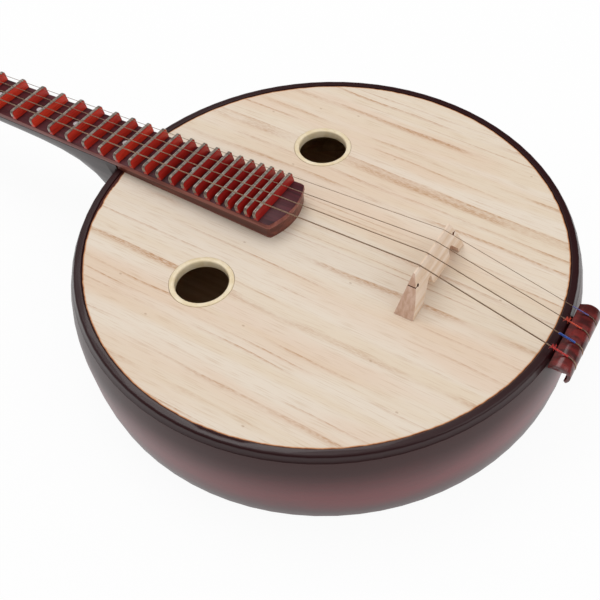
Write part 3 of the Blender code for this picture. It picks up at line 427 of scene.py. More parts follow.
# %% Fine grained wood


def fine_grain(name, dark, light, rough, spacing, along="Y", coat=0.0, streak=0.5, stretch=18):
    """Sanded wood with its grain along one axis; spacing is the grain's width in millimetres."""
    material, tree, shader, place = new_material(
        name, Roughness=rough, Specular_IOR_Level=0.4, Coat_Weight=coat,
        Coat_Roughness=0.12, Coat_IOR=LACQUER_IOR)
    size = [spacing * (stretch if axis == along else 1) for axis in "XYZ"]
    lines = put(tree, "ShaderNodeMapping", {"Vector": place, "Scale": cells(*size)})
    lines = put(tree, "ShaderNodeTexNoise", {"Vector": lines, "Scale": 1.0, "Detail": 4.0, "Distortion": 0.3})
    bands = put(tree, "ShaderNodeMapping", {
        "Vector": place, "Scale": cells(*[6 * length for length in size])})
    bands = put(tree, "ShaderNodeTexNoise", {"Vector": bands, "Scale": 1.0, "Detail": 2.0, "Distortion": 0.5})
    amount = put(tree, "ShaderNodeMapRange", {0: bands, 1: 0.30, 2: 0.70}, **SOFT)
    colour = put(tree, "ShaderNodeMix", {0: amount, 6: linear(light), 7: linear(dark)}, **RGBA)
    amount = put(tree, "ShaderNodeMapRange", {0: lines, 1: 0.45, 2: 0.75, 3: 0.0, 4: streak}, **SOFT)
    colour = put(tree, "ShaderNodeMix", {0: amount, 6: colour, 7: linear(dark)}, **RGBA)
    tree.links.new(colour.outputs[2], shader.inputs["Base Color"])
    uneven = put(tree, "ShaderNodeMapRange", {0: bands, 1: 0.2, 2: 0.8, 3: rough * 0.85, 4: rough * 1.15})
    tree.links.new(uneven.outputs[0], shader.inputs["Roughness"])
    bump = put(tree, "ShaderNodeBump", {"Height": lines, "Strength": 0.10, "Distance": 0.2 * MM})
    tree.links.new(bump.outputs[0], shader.inputs["Normal"])
    return material


FINISHES = {
    "soundboard": SOUNDBOARD,
    "side": SIDE,
    "rim": RIM,
    "neck": fine_grain("neck_hardwood_stained_lacquered", "#1e1213", "#3a2524", 0.40, 1.4, "Y", 0.25),
    "head": fine_grain("head_hardwood_stained_lacquered", "#240d10", "#43191c", 0.36, 1.4, "Y", 0.4),
    "tail": fine_grain("tailpiece_rosewood_lacquered", "#43100f", "#7a2522", 0.32, 0.9, "Y", 0.35, 0.7),
    "board": fine_grain("fingerboard_rosewood_oiled", "#380c13", "#5c1c26", 0.50, 0.9, "Y", 0.0),
    "board_edge": fine_grain("fingerboard_rosewood_cut", "#6a2f29", "#94554a", 0.44, 0.9, "Y", 0.05),
    "wedge": fine_grain("wedge_rosewood_lacquered", "#55261d", "#7c4033", 0.40, 0.9, "Y", 0.15),
    "bridge": fine_grain("bridge_maple_sanded", "#e2c6aa", "#efdccb", 0.58, 1.0, "X", 0.0, 0.4),
    # End grain at the bridge's ends, drawn darker than its sides partly as painted shade on faces turned from
    # the light.
    "bridge_end_grain_and_shade": fine_grain("bridge_maple_end_grain_and_painted_shade", "#c8a28a", "#dabaa6", 0.62, 0.5, "Z", 0.0, 0.5, 4),
    # Painted shade: the faces inside the bridge's end slits get a dark brown.
    "bridge_slit_painted_shade": fine_grain("bridge_maple_slit_painted_shade", "#4a2410", "#8a4e26", 0.70, 0.6, "X"),
    "back": fine_grain("back_paulownia_stained_lacquered", "#2c1110", "#4a211c", 0.40, 3.0, "Y", 0.3),
    "inside": fine_grain("inner_spruce_bare", "#b08a5c", "#c8a678", 0.75, 1.5, "X"),
    "inner_floor": fine_grain("inner_paulownia_bare", "#c79a6c", "#dcb488", 0.80, 1.5, "Y"),
    "peg": fine_grain("peg_hardwood_turned_stained", "#1f0c0d", "#3f191a", 0.34, 0.8, "X", 0.5),
}
print("wood finishes:", ", ".join(sorted(FINISHES)))

# %% [markdown]
# Fret wood
#
# The tall frets are padauk, a bright orange red hardwood. Those on the neck are drawn brighter
# than those over the body, and each fret was cut from another strip. So the colour follows the
# place along the neck, with a change from one fret to the next, and fine streaks run along each
# fret.

# %% Fret material


def padauk():
    """Red fret wood: brighter on the neck, with fine streaks along each fret."""
    material, tree, shader, place = new_material(
        "fret_padauk_polished", Roughness=0.42, Specular_IOR_Level=0.4, Coat_Weight=0.08, Coat_Roughness=0.15,
        Coat_IOR=LACQUER_IOR)
    along = put(tree, "ShaderNodeSeparateXYZ", {0: place}).outputs["Y"]
    share = put(tree, "ShaderNodeMapRange", {0: along, 1: 110 * MM, 2: 240 * MM}, **SOFT)
    colour = put(tree, "ShaderNodeMix", {0: share, 6: linear("#a8201a"), 7: linear("#d83a22")}, **RGBA)
    each = put(tree, "ShaderNodeMapping", {"Vector": place, "Scale": cells(300, 9, 300)})
    each = put(tree, "ShaderNodeTexNoise", {"Vector": each, "Scale": 1.0, "Detail": 0.0})
    amount = put(tree, "ShaderNodeMapRange", {0: each, 1: 0.40, 2: 0.62, 3: 0.0, 4: 0.5}, **SOFT)
    colour = put(tree, "ShaderNodeMix", {0: amount, 6: colour, 7: linear("#9c1a15")}, **RGBA)
    streaks = put(tree, "ShaderNodeMapping", {"Vector": place, "Scale": cells(12, 0.8, 0.6)})
    streaks = put(tree, "ShaderNodeTexNoise", {
        "Vector": streaks, "Scale": 1.0, "Detail": 4.0, "Distortion": 0.2})
    amount = put(tree, "ShaderNodeMapRange", {0: streaks, 1: 0.46, 2: 0.72, 3: 0.0, 4: 0.6}, **SOFT)
    colour = put(tree, "ShaderNodeMix", {0: amount, 6: colour, 7: linear("#7c1611")}, **RGBA)
    tree.links.new(colour.outputs[2], shader.inputs["Base Color"])
    bump = put(tree, "ShaderNodeBump", {"Height": streaks, "Strength": 0.12, "Distance": 0.2 * MM})
    tree.links.new(bump.outputs[0], shader.inputs["Normal"])
    return material


FINISHES["fret"] = padauk()
print("material", FINISHES["fret"].name)

# %% [markdown]
# Bone, celluloid, shell and metal
#
# The nut and the ornament are polished bone, the sound hole rings are cream celluloid, and the
# position dots are shell. All are pale and hardly grained, so a soft cloud of a second shade
# is enough. Metal is told from them by its reflection, and its worn places by their roughness.

# %% Pale inlays


def pale(name, light, dark, rough, spot, ior):
    """A pale polished material with a soft cloud of a second shade, spot millimetres wide."""
    material, tree, shader, place = new_material(name, Roughness=rough, IOR=ior)
    cloud = put(tree, "ShaderNodeMapping", {"Vector": place, "Scale": cells(spot, spot, spot)})
    cloud = put(tree, "ShaderNodeTexNoise", {"Vector": cloud, "Scale": 1.0, "Detail": 4.0, "Distortion": 0.6})
    amount = put(tree, "ShaderNodeMapRange", {0: cloud, 1: 0.3, 2: 0.7}, **SOFT)
    colour = put(tree, "ShaderNodeMix", {0: amount, 6: linear(light), 7: linear(dark)}, **RGBA)
    tree.links.new(colour.outputs[2], shader.inputs["Base Color"])
    bump = put(tree, "ShaderNodeBump", {"Height": cloud, "Strength": 0.05, "Distance": 0.1 * MM})
    tree.links.new(bump.outputs[0], shader.inputs["Normal"])
    return material


FINISHES["ring"] = pale("ring_celluloid_polished", "#ecdcbe", "#e3cfa8", 0.36, 9, 1.50)
FINISHES["bone"] = pale("bone_polished", "#efe6d2", "#dccba8", 0.30, 6, 1.54)
FINISHES["dot"] = pale("dot_shell_polished", "#dcd8d6", "#b9b4bc", 0.26, 1.6, 1.53)
print("inlays: ring, bone, dot")

# %% Metal


def metal(name, light, dark, rough, spot):
    """Drawn metal, duller where fingers have touched it."""
    material, tree, shader, place = new_material(name, Metallic=1.0, Roughness=rough)
    marks = put(tree, "ShaderNodeMapping", {"Vector": place, "Scale": cells(spot, 4 * spot, spot)})
    marks = put(tree, "ShaderNodeTexNoise", {"Vector": marks, "Scale": 1.0, "Detail": 3.0})
    amount = put(tree, "ShaderNodeMapRange", {0: marks, 1: 0.3, 2: 0.7}, **SOFT)
    colour = put(tree, "ShaderNodeMix", {0: amount, 6: linear(light), 7: linear(dark)}, **RGBA)
    tree.links.new(colour.outputs[2], shader.inputs["Base Color"])
    worn = put(tree, "ShaderNodeMapRange", {
        0: marks, 1: 0.25, 2: 0.75, 3: rough * 0.8, 4: rough * 1.3}, **SOFT)
    tree.links.new(worn.outputs[0], shader.inputs["Roughness"])
    return material


def wound_wire_painted_groove_shade(name, light, dark, pitch):
    """Round wire wound on a steel core: fine ridges across the string, along its own length, with painted
    shade in the grooves between turns.
    """
    material, tree, shader, place = new_material(name, Metallic=1.0, Roughness=0.40)
    along = put(tree, "ShaderNodeAttribute", attribute_name="along").outputs["Fac"]
    wave = put(tree, "ShaderNodeMath", {0: along, 1: 2 * math.pi / pitch}, operation="MULTIPLY")
    wave = put(tree, "ShaderNodeMath", {0: wave}, operation="SINE")
    # Painted shade: the colour goes dark in the grooves between turns and light on the crests.
    amount = put(tree, "ShaderNodeMapRange", {0: wave, 1: -1.0, 2: 0.6}, **SOFT)
    colour = put(tree, "ShaderNodeMix", {0: amount, 6: linear(dark), 7: linear(light)}, **RGBA)
    tree.links.new(colour.outputs[2], shader.inputs["Base Color"])
    bump = put(tree, "ShaderNodeBump", {"Height": wave, "Strength": 0.5, "Distance": 0.05 * MM})
    tree.links.new(bump.outputs[0], shader.inputs["Normal"])
    return material


FINISHES["strip"] = metal("strip_nickel_silver_drawn", "#c3bbb0", "#9c948a", 0.45, 2)
# The real winding is about 0.15 mm from turn to turn; it is drawn at 0.6 mm so that it shows.
FINISHES["wire"] = wound_wire_painted_groove_shade("string_bronze_wound", "#c9ab90", "#86695a", 0.6 * MM)
print("metals: strip, wire")

# %% [markdown]
# Silk wraps
#
# Where a string leaves the tailpiece it is wrapped with coloured silk, which tells the player
# which string it is and keeps it from cutting the wood. Silk is a bundle of very fine
# threads with a soft sheen, so its colour is strong, slightly uneven, and brighter at the edge.

# %% Silk material


def silk(name, light, dark):
    """Spun silk thread: strong colour, with a soft sheen."""
    material, tree, shader, place = new_material(name, Roughness=0.55, Sheen_Weight=0.6, Sheen_Roughness=0.35)
    thread = put(tree, "ShaderNodeMapping", {"Vector": place, "Scale": cells(0.5, 0.3, 0.5)})
    thread = put(tree, "ShaderNodeTexNoise", {"Vector": thread, "Scale": 1.0, "Detail": 2.0})
    amount = put(tree, "ShaderNodeMapRange", {0: thread, 1: 0.35, 2: 0.65}, **SOFT)
    colour = put(tree, "ShaderNodeMix", {0: amount, 6: linear(light), 7: linear(dark)}, **RGBA)
    tree.links.new(colour.outputs[2], shader.inputs["Base Color"])
    return material


SILKS = [silk("silk_red_spun", "#e2352f", "#b3201f"), silk("silk_blue_spun", "#2a63c4", "#163a8c"),
         silk("silk_orange_spun", "#f0562e", "#c43a20"), silk("silk_violet_spun", "#7672b8", "#454389")]
print("silks:", len(SILKS))

# %% [markdown]
# Dressing a solid
#
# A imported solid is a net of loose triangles. A copy is welded, its flat faces are joined
# again, its edges get a small rounding, because no real edge is perfectly sharp, and its round
# faces are shaded smooth. The copy then stands for the solid and moves with the same body. Some
# solids show more than one finish: the back is lacquered outside and bare inside. A rule on each
# face's direction and middle picks each further finish.

# %% Dress one solid
WELD = 0.002 * MM
CREASE = math.radians(35)


def welded_copy(name):
    """A copy of a solid's mesh with its doubles merged and its flat faces joined."""
    mesh = frame["nodes"][name].data.copy()
    work = bmesh.new()
    work.from_mesh(mesh)
    bmesh.ops.remove_doubles(work, verts=work.verts, dist=WELD)
    bmesh.ops.dissolve_limit(work, angle_limit=math.radians(0.3), verts=work.verts, edges=work.edges)
    work.to_mesh(mesh)
    work.free()
    return mesh


def plain_mesh(item):
    """Turn an object's evaluated shape into its own mesh and take its modifiers off."""
    bpy.context.view_layer.update()
    graph = bpy.context.evaluated_depsgraph_get()
    item.data = bpy.data.meshes.new_from_object(item.evaluated_get(graph))
    item.modifiers.clear()


def dress(name, finish, edge=0.0, others=()):
    """Replace a solid with a finished copy; others are pairs of a finish and a rule for its faces."""
    solid = frame["nodes"][name]
    item = bpy.data.objects.new(name + "_finished", welded_copy(name))
    bpy.context.scene.collection.objects.link(item)
    if edge:
        rounding = item.modifiers.new("edge", "BEVEL")
        rounding.width = edge
        rounding.segments = 2
        rounding.limit_method = "ANGLE"
        rounding.angle_limit = CREASE
        plain_mesh(item)
    item.data.materials.clear()
    item.data.materials.append(FINISHES[finish])
    for number, (other, rule) in enumerate(others, 1):
        item.data.materials.append(FINISHES[other])
        for face in item.data.polygons:
            if rule(face.normal, face.center):
                face.material_index = number
    item.data.shade_smooth()
    item.data.set_sharp_from_angle(angle=CREASE)
    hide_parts(name)
    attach(item, solid["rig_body"])
    return item


# %% Body and soundboard
BACK_INSIDE = 4 * MM
WALL_INSIDE = 208 * MM
dress("side_frame", "side", 0.0, [
    ("inside", lambda way, at: at.xy.length < WALL_INSIDE and abs(way.z) < 0.5)])
dress("rim_binding", "rim")
dress("soundboard", "soundboard", 0.0, [("inside", lambda way, at: way.z < -0.5)])
dress("back_plate", "back", 0.0, [("inner_floor", lambda way, at: at.z > BACK_INSIDE)])
for side in ("left", "right"):
    dress("sound_hole_ring_" + side, "ring", 0.3 * MM)
print("body dressed")

# %% Neck, head and frets
dress("neck", "neck")
dress("peg_box", "head")
dress("head_ornament", "bone")
dress("nut", "bone", 0.3 * MM)
dress("fingerboard", "board", 0.5 * MM, [("board_edge", lambda way, at: abs(way.z) < 0.8)])
dress("fingerboard_wedge", "wedge")
for number in range(1, 25):
    dress("fret_%02d" % number, "fret", 0.2 * MM)
for number in range(1, 5):
    dress("peg_%d" % number, "peg", 0.2 * MM)
print("neck dressed")

# %% Bridge and tailpiece
BRIDGE_END = 29 * MM
CUT_REACH = 29.4 * MM
CUT_LOW = (84 + 0.3 + 23.7) * MM
CUT_HIGH = (84 + 0.3 + 26.7) * MM
dress("bridge", "bridge", 0.25 * MM, [
    # The end faces: end grain, darker partly as painted shade.
    ("bridge_end_grain_and_shade", lambda way, at: abs(way.x) > 0.6 and abs(at.x) > BRIDGE_END),
    # Painted shade on the faces inside the end slits.
    ("bridge_slit_painted_shade", lambda way, at: abs(at.x) > CUT_REACH and CUT_LOW < at.z < CUT_HIGH and (
        abs(way.z) > 0.97 or abs(at.x) < 32.5 * MM and abs(way.y) < 0.2))])
dress("tailpiece", "tail", 0.25 * MM)
print("bridge and tailpiece dressed")

# %% Blocks, braces and linings
for name in ("neck_block", "tail_block", "upper_brace", "lower_brace", "upper_lining", "lower_lining"):
    solid = frame["nodes"][name]
    solid.data.materials.clear()
    solid.data.materials.append(FINISHES["inside"])
print("inside pieces keep their solids, in bare spruce")

# %% [markdown]
# Running a node tree on a piece
#
# The frets' strips, the dots, the strings and the silk all repeat a form or follow a path, so
# Geometry Nodes make them. A tree is built here in the script, with named inputs for its
# sizes. An object gets it as a modifier, the inputs are set by their identifiers, and the
# result is turned into a plain mesh that rides on its body.

# %% Node tree helpers


def new_tree(name, sizes):
    """Start a Geometry Nodes tree with a geometry input, named sizes and a material."""
    tree = bpy.data.node_groups.new(name, "GeometryNodeTree")
    tree.interface.new_socket("Geometry", in_out="INPUT", socket_type="NodeSocketGeometry")
    tree.interface.new_socket("Geometry", in_out="OUTPUT", socket_type="NodeSocketGeometry")
    for size, value in sizes.items():
        kind = "NodeSocketInt" if isinstance(value, int) else "NodeSocketFloat"
        tree.interface.new_socket(size, in_out="INPUT", socket_type=kind).default_value = value
    tree.interface.new_socket("Material", in_out="INPUT", socket_type="NodeSocketMaterial")
    return tree, put(tree, "NodeGroupInput").outputs


def end_tree(tree, shape, given, smooth=True):
    """End a tree with Realize Instances, shading and the material."""
    real = put(tree, "GeometryNodeRealizeInstances", {"Geometry": shape})
    soft = put(tree, "GeometryNodeSetShadeSmooth", {"Geometry": real.outputs[0], "Shade Smooth": smooth})
    done = put(tree, "GeometryNodeSetMaterial", {"Geometry": soft.outputs[0], "Material": given["Material"]})
    put(tree, "NodeGroupOutput", {"Geometry": done.outputs[0]})


def grow(name, points, tree, material, body, sizes=None, place=None, joined=True):
    """Run a tree on a line of points and keep the result as a plain mesh on a body."""
    mesh = bpy.data.meshes.new(name)
    links = [(i, i + 1) for i in range(len(points) - 1)] if joined else []
    mesh.from_pydata([tuple(point) for point in points], links, [])
    item = bpy.data.objects.new(name, mesh)
    bpy.context.scene.collection.objects.link(item)
    modifier = item.modifiers.new("form", "NODES")
    modifier.node_group = tree
    values = dict(sizes or {}, Material=material)
    for socket in tree.interface.items_tree:
        if socket.in_out == "INPUT" and socket.name in values:
            modifier[socket.identifier] = values[socket.name]
    plain_mesh(item)
    if place:
        item.data.transform(place)
    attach(item, body)
    return item


print("node tree helpers ready")

# %% [markdown]
# Metal strips on the frets
#
# Each fret's crest carries a pair of thin nickel silver strips with a slit between them, bent
# down over both rounded ends. All twenty-four follow one rule: fret number n stands at the
# string's length divided by 2 to the power n/12, and the board narrows evenly to the nut.
# The tree makes one path of twelve points, copies it to every fret, moves the points by that
# rule, and draws the two bars of the strip along each path.

# %% Tree for the strips
NECK_TILT = math.radians(1.95)
NECK_ORIGIN = (0, -94.25 * MM, (84 + 16.8) * MM + math.sin(NECK_TILT) * 129 * MM)
NECK = Matrix.Translation(NECK_ORIGIN) @ Matrix.Rotation(-NECK_TILT, 4, "X")
ARC = 5


def strip_tree():
    """Strips along the crests of frets that are spaced by the rule of twelve."""
    tree, given = new_tree("fret_strips", {
        "Frets": 24, "String Length": 0.6, "Wide Half": 0.0282, "Narrow Half": 0.018, "Wide Place": 0.136,
        "Crest Height": 0.0084, "Crest Width": 0.0026, "End Round": 0.0022, "Wrap": 0.003,
        "Bar Width": 0.00112, "Bar Height": 0.0008, "Slit": 0.00036, "Sunk": 0.0002})
    index = put(tree, "GeometryNodeInputIndex")
    number = put(tree, "ShaderNodeMath", {0: index, 1: 1.0}, operation="ADD")
    frets = put(tree, "GeometryNodeMeshLine", {"Count": given["Frets"]})
    frets = put(tree, "GeometryNodeStoreNamedAttribute", {
        "Geometry": frets, "Name": "number", "Value": number})
    step = put(tree, "ShaderNodeMath", {0: index, 1: 0.0}, operation="ADD")
    path = put(tree, "GeometryNodeMeshLine", {"Count": 2 * ARC + 2})
    path = put(tree, "GeometryNodeStoreNamedAttribute", {"Geometry": path, "Name": "step", "Value": step})
    paths = put(tree, "GeometryNodeInstanceOnPoints", {"Points": frets, "Instance": path})
    paths = put(tree, "GeometryNodeRealizeInstances", {"Geometry": paths})

    fret = put(tree, "GeometryNodeInputNamedAttribute", {"Name": "number"})
    octaves = put(tree, "ShaderNodeMath", {0: fret, 1: -12.0}, operation="DIVIDE")
    ratio = put(tree, "ShaderNodeMath", {0: 2.0, 1: octaves}, operation="POWER")
    place = put(tree, "ShaderNodeMath", {0: given["String Length"], 1: ratio}, operation="MULTIPLY")
    past = put(tree, "ShaderNodeMath", {0: place, 1: given["Wide Place"]}, operation="SUBTRACT")
    run = put(tree, "ShaderNodeMath", {
        0: given["String Length"], 1: given["Wide Place"]}, operation="SUBTRACT")
    share = put(tree, "ShaderNodeMath", {0: past, 1: run}, operation="DIVIDE")
    taper = put(tree, "ShaderNodeMath", {
        0: given["Narrow Half"], 1: given["Wide Half"]}, operation="SUBTRACT")
    half = put(tree, "ShaderNodeMath", {0: taper, 1: share, 2: given["Wide Half"]}, operation="MULTIPLY_ADD")

    point = put(tree, "GeometryNodeInputNamedAttribute", {"Name": "step"})
    side = put(tree, "ShaderNodeMath", {0: point, 1: ARC + 0.5}, operation="SUBTRACT")
    side = put(tree, "ShaderNodeMath", {0: side}, operation="SIGN")
    back = put(tree, "ShaderNodeMath", {0: 2 * ARC + 1.0, 1: point}, operation="SUBTRACT")
    from_end = put(tree, "ShaderNodeMath", {0: point, 1: back}, operation="MINIMUM")
    turn = put(tree, "ShaderNodeMapRange", {0: from_end, 1: 1.0, 2: float(ARC), 3: 0.0, 4: math.pi / 2})
    sine = put(tree, "ShaderNodeMath", {0: turn}, operation="SINE")
    cosine = put(tree, "ShaderNodeMath", {0: turn}, operation="COSINE")
    proud = put(tree, "ShaderNodeMath", {0: given["Bar Height"], 1: 0.5}, operation="MULTIPLY")
    proud = put(tree, "ShaderNodeMath", {0: proud, 1: given["Sunk"]}, operation="SUBTRACT")
    reach = put(tree, "ShaderNodeMath", {0: given["End Round"], 1: proud}, operation="ADD")
    inner = put(tree, "ShaderNodeMath", {0: half, 1: given["End Round"]}, operation="SUBTRACT")
    x = put(tree, "ShaderNodeMath", {0: reach, 1: cosine, 2: inner}, operation="MULTIPLY_ADD")
    x = put(tree, "ShaderNodeMath", {0: side, 1: x}, operation="MULTIPLY")
    low = put(tree, "ShaderNodeMath", {0: given["Crest Height"], 1: given["End Round"]}, operation="SUBTRACT")
    z = put(tree, "ShaderNodeMath", {0: reach, 1: sine, 2: low}, operation="MULTIPLY_ADD")
    last = put(tree, "ShaderNodeMath", {0: from_end, 1: 0.5}, operation="LESS_THAN")
    down = put(tree, "ShaderNodeMath", {0: last, 1: given["Wrap"]}, operation="MULTIPLY")
    z = put(tree, "ShaderNodeMath", {0: z, 1: down}, operation="SUBTRACT")
    y = put(tree, "ShaderNodeMath", {0: given["Crest Width"], 1: -0.5, 2: place}, operation="MULTIPLY_ADD")
    spot = put(tree, "ShaderNodeCombineXYZ", {"X": x, "Y": y, "Z": z})
    moved = put(tree, "GeometryNodeSetPosition", {"Geometry": paths, "Position": spot})
    curve = put(tree, "GeometryNodeMeshToCurve", {"Mesh": moved})
    curve = put(tree, "GeometryNodeSetCurveNormal", {"Curve": curve, "Normal": (0, 1, 0)}, mode="FREE")

    bar = put(tree, "GeometryNodeCurvePrimitiveQuadrilateral", {
        "Width": given["Bar Width"], "Height": given["Bar Height"]})
    bar = put(tree, "GeometryNodeFilletCurve", {"Curve": bar, "Radius": 0.0002, "Count": 2}, mode="POLY")
    apart = put(tree, "ShaderNodeMath", {0: given["Bar Width"], 1: given["Slit"]}, operation="ADD")
    pair = []
    for sign in (-0.5, 0.5):
        shift = put(tree, "ShaderNodeMath", {0: apart, 1: sign}, operation="MULTIPLY")
        shift = put(tree, "ShaderNodeCombineXYZ", {"X": shift})
        pair.append(put(tree, "GeometryNodeTransform", {"Geometry": bar, "Translation": shift}))
    profile = put(tree, "GeometryNodeJoinGeometry", {"Geometry": pair})
    strip = put(tree, "GeometryNodeCurveToMesh", {
        "Curve": curve, "Profile Curve": profile, "Fill Caps": True})
    end_tree(tree, strip, given, False)
    return tree


strips = grow("fret_strips", [(0, 0, 0)], strip_tree(), FINISHES["strip"], "instrument",
              place=NECK, joined=False)
print("strips:", len(strips.data.polygons), "faces")

# %% [markdown]
# Position dots
#
# Five small shell discs are let into the board, midway between two frets, to show the player
# the place. A point stands where each one goes, and the tree copies a thin disc to the points.

# %% Tree for the dots
DOT_FRETS = (4, 6, 8, 11, 16)
STRING_LENGTH = 600 * MM


def dot_tree():
    """A thin disc on every point."""
    tree, given = new_tree("shell_dots", {"Radius": 0.0027, "Thickness": 0.0006, "Sides": 28})
    disc = put(tree, "GeometryNodeMeshCylinder", {
        "Vertices": given["Sides"], "Radius": given["Radius"], "Depth": given["Thickness"]}).outputs[0]
    copies = put(tree, "GeometryNodeInstanceOnPoints", {
        "Points": given["Geometry"], "Instance": disc}).outputs[0]
    end_tree(tree, copies, given, False)
    return tree


spots = []
for fret in DOT_FRETS:
    middle = STRING_LENGTH * (2 ** (-fret / 12) + 2 ** (-(fret + 1) / 12)) / 2
    spots.append((0, middle, -0.2 * MM))
dots = grow("position_dots", spots, dot_tree(), FINISHES["dot"], "instrument", place=NECK, joined=False)
print("dots:", len(spots))

# %% [markdown]
# Strings
#
# A string is a steel core with fine wire wound round it. It starts under the tailpiece, runs
# in its groove over the round edge, and then straight over the bridge and the nut to its peg.
# The solids have the same path with few sides. Here a tree draws a rounder tube along it and
# stores the distance along the string, which the wound wire's ridges and their painted groove shade follow.

# %% Tree for round wire


def wire_tree():
    """A round tube along a line of points that stores the distance along it."""
    tree, given = new_tree("round_wire", {"Radius": 0.0005, "Sides": 12})
    curve = put(tree, "GeometryNodeMeshToCurve", {"Mesh": given["Geometry"]}).outputs[0]
    length = put(tree, "GeometryNodeSplineParameter").outputs["Length"]
    curve = put(tree, "GeometryNodeStoreNamedAttribute", {
        "Geometry": curve, "Name": "along", "Value": length}).outputs[0]
    ring = put(tree, "GeometryNodeCurvePrimitiveCircle", {
        "Resolution": given["Sides"], "Radius": given["Radius"]}).outputs[0]
    tube = put(tree, "GeometryNodeCurveToMesh", {
        "Curve": curve, "Profile Curve": ring, "Fill Caps": True}).outputs[0]
    end_tree(tree, tube, given)
    return tree


WIRE = wire_tree()
GAP = 0.3 * MM
DIAMETERS = (1.1 * MM, 0.9 * MM, 0.7 * MM, 0.5 * MM)
RIM_RADIUS = 210.3 * MM
TAIL_RADIUS = 9.5 * MM
TAIL_MIDDLE = Vector((0, -RIM_RADIUS - 10.9 * MM + 0.5 * MM, SIDE_TOP - 5 * MM + 0.5 * MM))
TAIL_WRAP = math.radians(150)
HEAD = NECK @ Matrix.Translation((0, 606.6 * MM, -5.3 * MM)) @ Matrix.Rotation(math.radians(-8), 4, "X")
PEG_PLACES = (45 * MM, 109 * MM, 141 * MM, 77 * MM)
PEG_SIDES = (-1, -1, 1, 1)
PEG_DEPTH = 13 * MM
SHAFT = 4 * MM
POSTS = (-9 * MM, -3 * MM, 3 * MM, 9 * MM)
print("wire tree ready")

# %% Paths of the strings


def string_path(index):
    """A string's points, from under the tailpiece to its peg."""
    lift = DIAMETERS[index] / 2 + GAP
    across = index - 1.5
    ridge = Vector((across * 14.27 * MM, NECK_ORIGIN[1], SIDE_TOP + 35.4 * MM + 2 * GAP + lift))
    radius = TAIL_RADIUS + GAP
    way = ridge - TAIL_MIDDLE
    leave = math.atan2(way.z, way.y) + math.acos(radius / math.hypot(way.y, way.z))
    points = []
    for i in range(33):
        angle = leave + TAIL_WRAP * (1 - i / 32)
        points.append(TAIL_MIDDLE + Vector((across * 14.95 * MM, radius * math.cos(angle),
                                            radius * math.sin(angle))))
    points.append(ridge)
    points.append(NECK @ Vector((across * 8.6 * MM, 600.5 * MM, 9.6 * MM)))
    points.append(HEAD @ Vector((POSTS[index], PEG_PLACES[index], SHAFT - PEG_DEPTH + lift + GAP)))
    return points


PATHS = [string_path(index) for index in range(4)]
for index, path in enumerate(PATHS):
    name = "string_%d" % (index + 1)
    wire = grow(name + "_wound", path, WIRE, FINISHES["wire"], "instrument", {"Radius": DIAMETERS[index] / 2})
    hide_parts(name)
print("string 1 runs %.0f mm" % (sum((b - a).length for a, b in zip(PATHS[0], PATHS[0][1:])) / MM))

# %% Windings on the pegs
WINDING_STEP = 0.55 * MM
WINDING_TURNS = 3
LOOP = 36


def winding_path(index):
    """Points of a string's turns round its peg, with a short straight run at each end."""
    side = PEG_SIDES[index]
    pitch = DIAMETERS[index] + WINDING_STEP
    grows = (1, -1, 1, -1)[index]
    radius = SHAFT + GAP + DIAMETERS[index] / 2
    axis = HEAD @ Matrix.Translation((0, PEG_PLACES[index], -PEG_DEPTH))
    axis = axis @ Matrix.Rotation(side * math.pi / 2, 4, "Y")
    points = []
    for i in range(WINDING_TURNS * LOOP + 1):
        angle = 2 * math.pi * i / LOOP
        along = (POSTS[index] + grows * pitch) * side + grows * side * pitch * i / LOOP
        points.append(Vector((radius * math.cos(angle), radius * math.sin(angle), along)))
    points.insert(0, points[0] + (points[0] - points[1]).normalized() * DIAMETERS[index])
    points.append(points[-1] + (points[-1] - points[-2]).normalized() * DIAMETERS[index])
    return [axis @ point for point in points]


for index in range(4):
    name = "string_%d_winding" % (index + 1)
    coil = grow(name + "_wound", winding_path(index), WIRE, FINISHES["wire"], "tuning_peg_%d" % (index + 1),
                {"Radius": DIAMETERS[index] / 2})
    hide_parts(name)
    low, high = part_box(name)
    print(name, "off its solid by %.2f mm" % (max(abs(a - b) for a, b in zip(low, [
        min(vertex.co[k] for vertex in coil.data.vertices) for k in range(3)])) / MM))

# %% [markdown]
# Silk threads
#
# The silk is one thread laid turn by turn round the string, from just inside the rim to the
# top of the tailpiece. The tree walks along the string, turns a point round it as it goes, and
# draws a thin tube through the points. Two of the four wraps start in a loose tuft, which is
# a few short bent fibres at one point, each turned by a seeded random angle.

# %% Tree for the silk
SILK_START = -208.5 * MM
SILK_END = -222.3 * MM


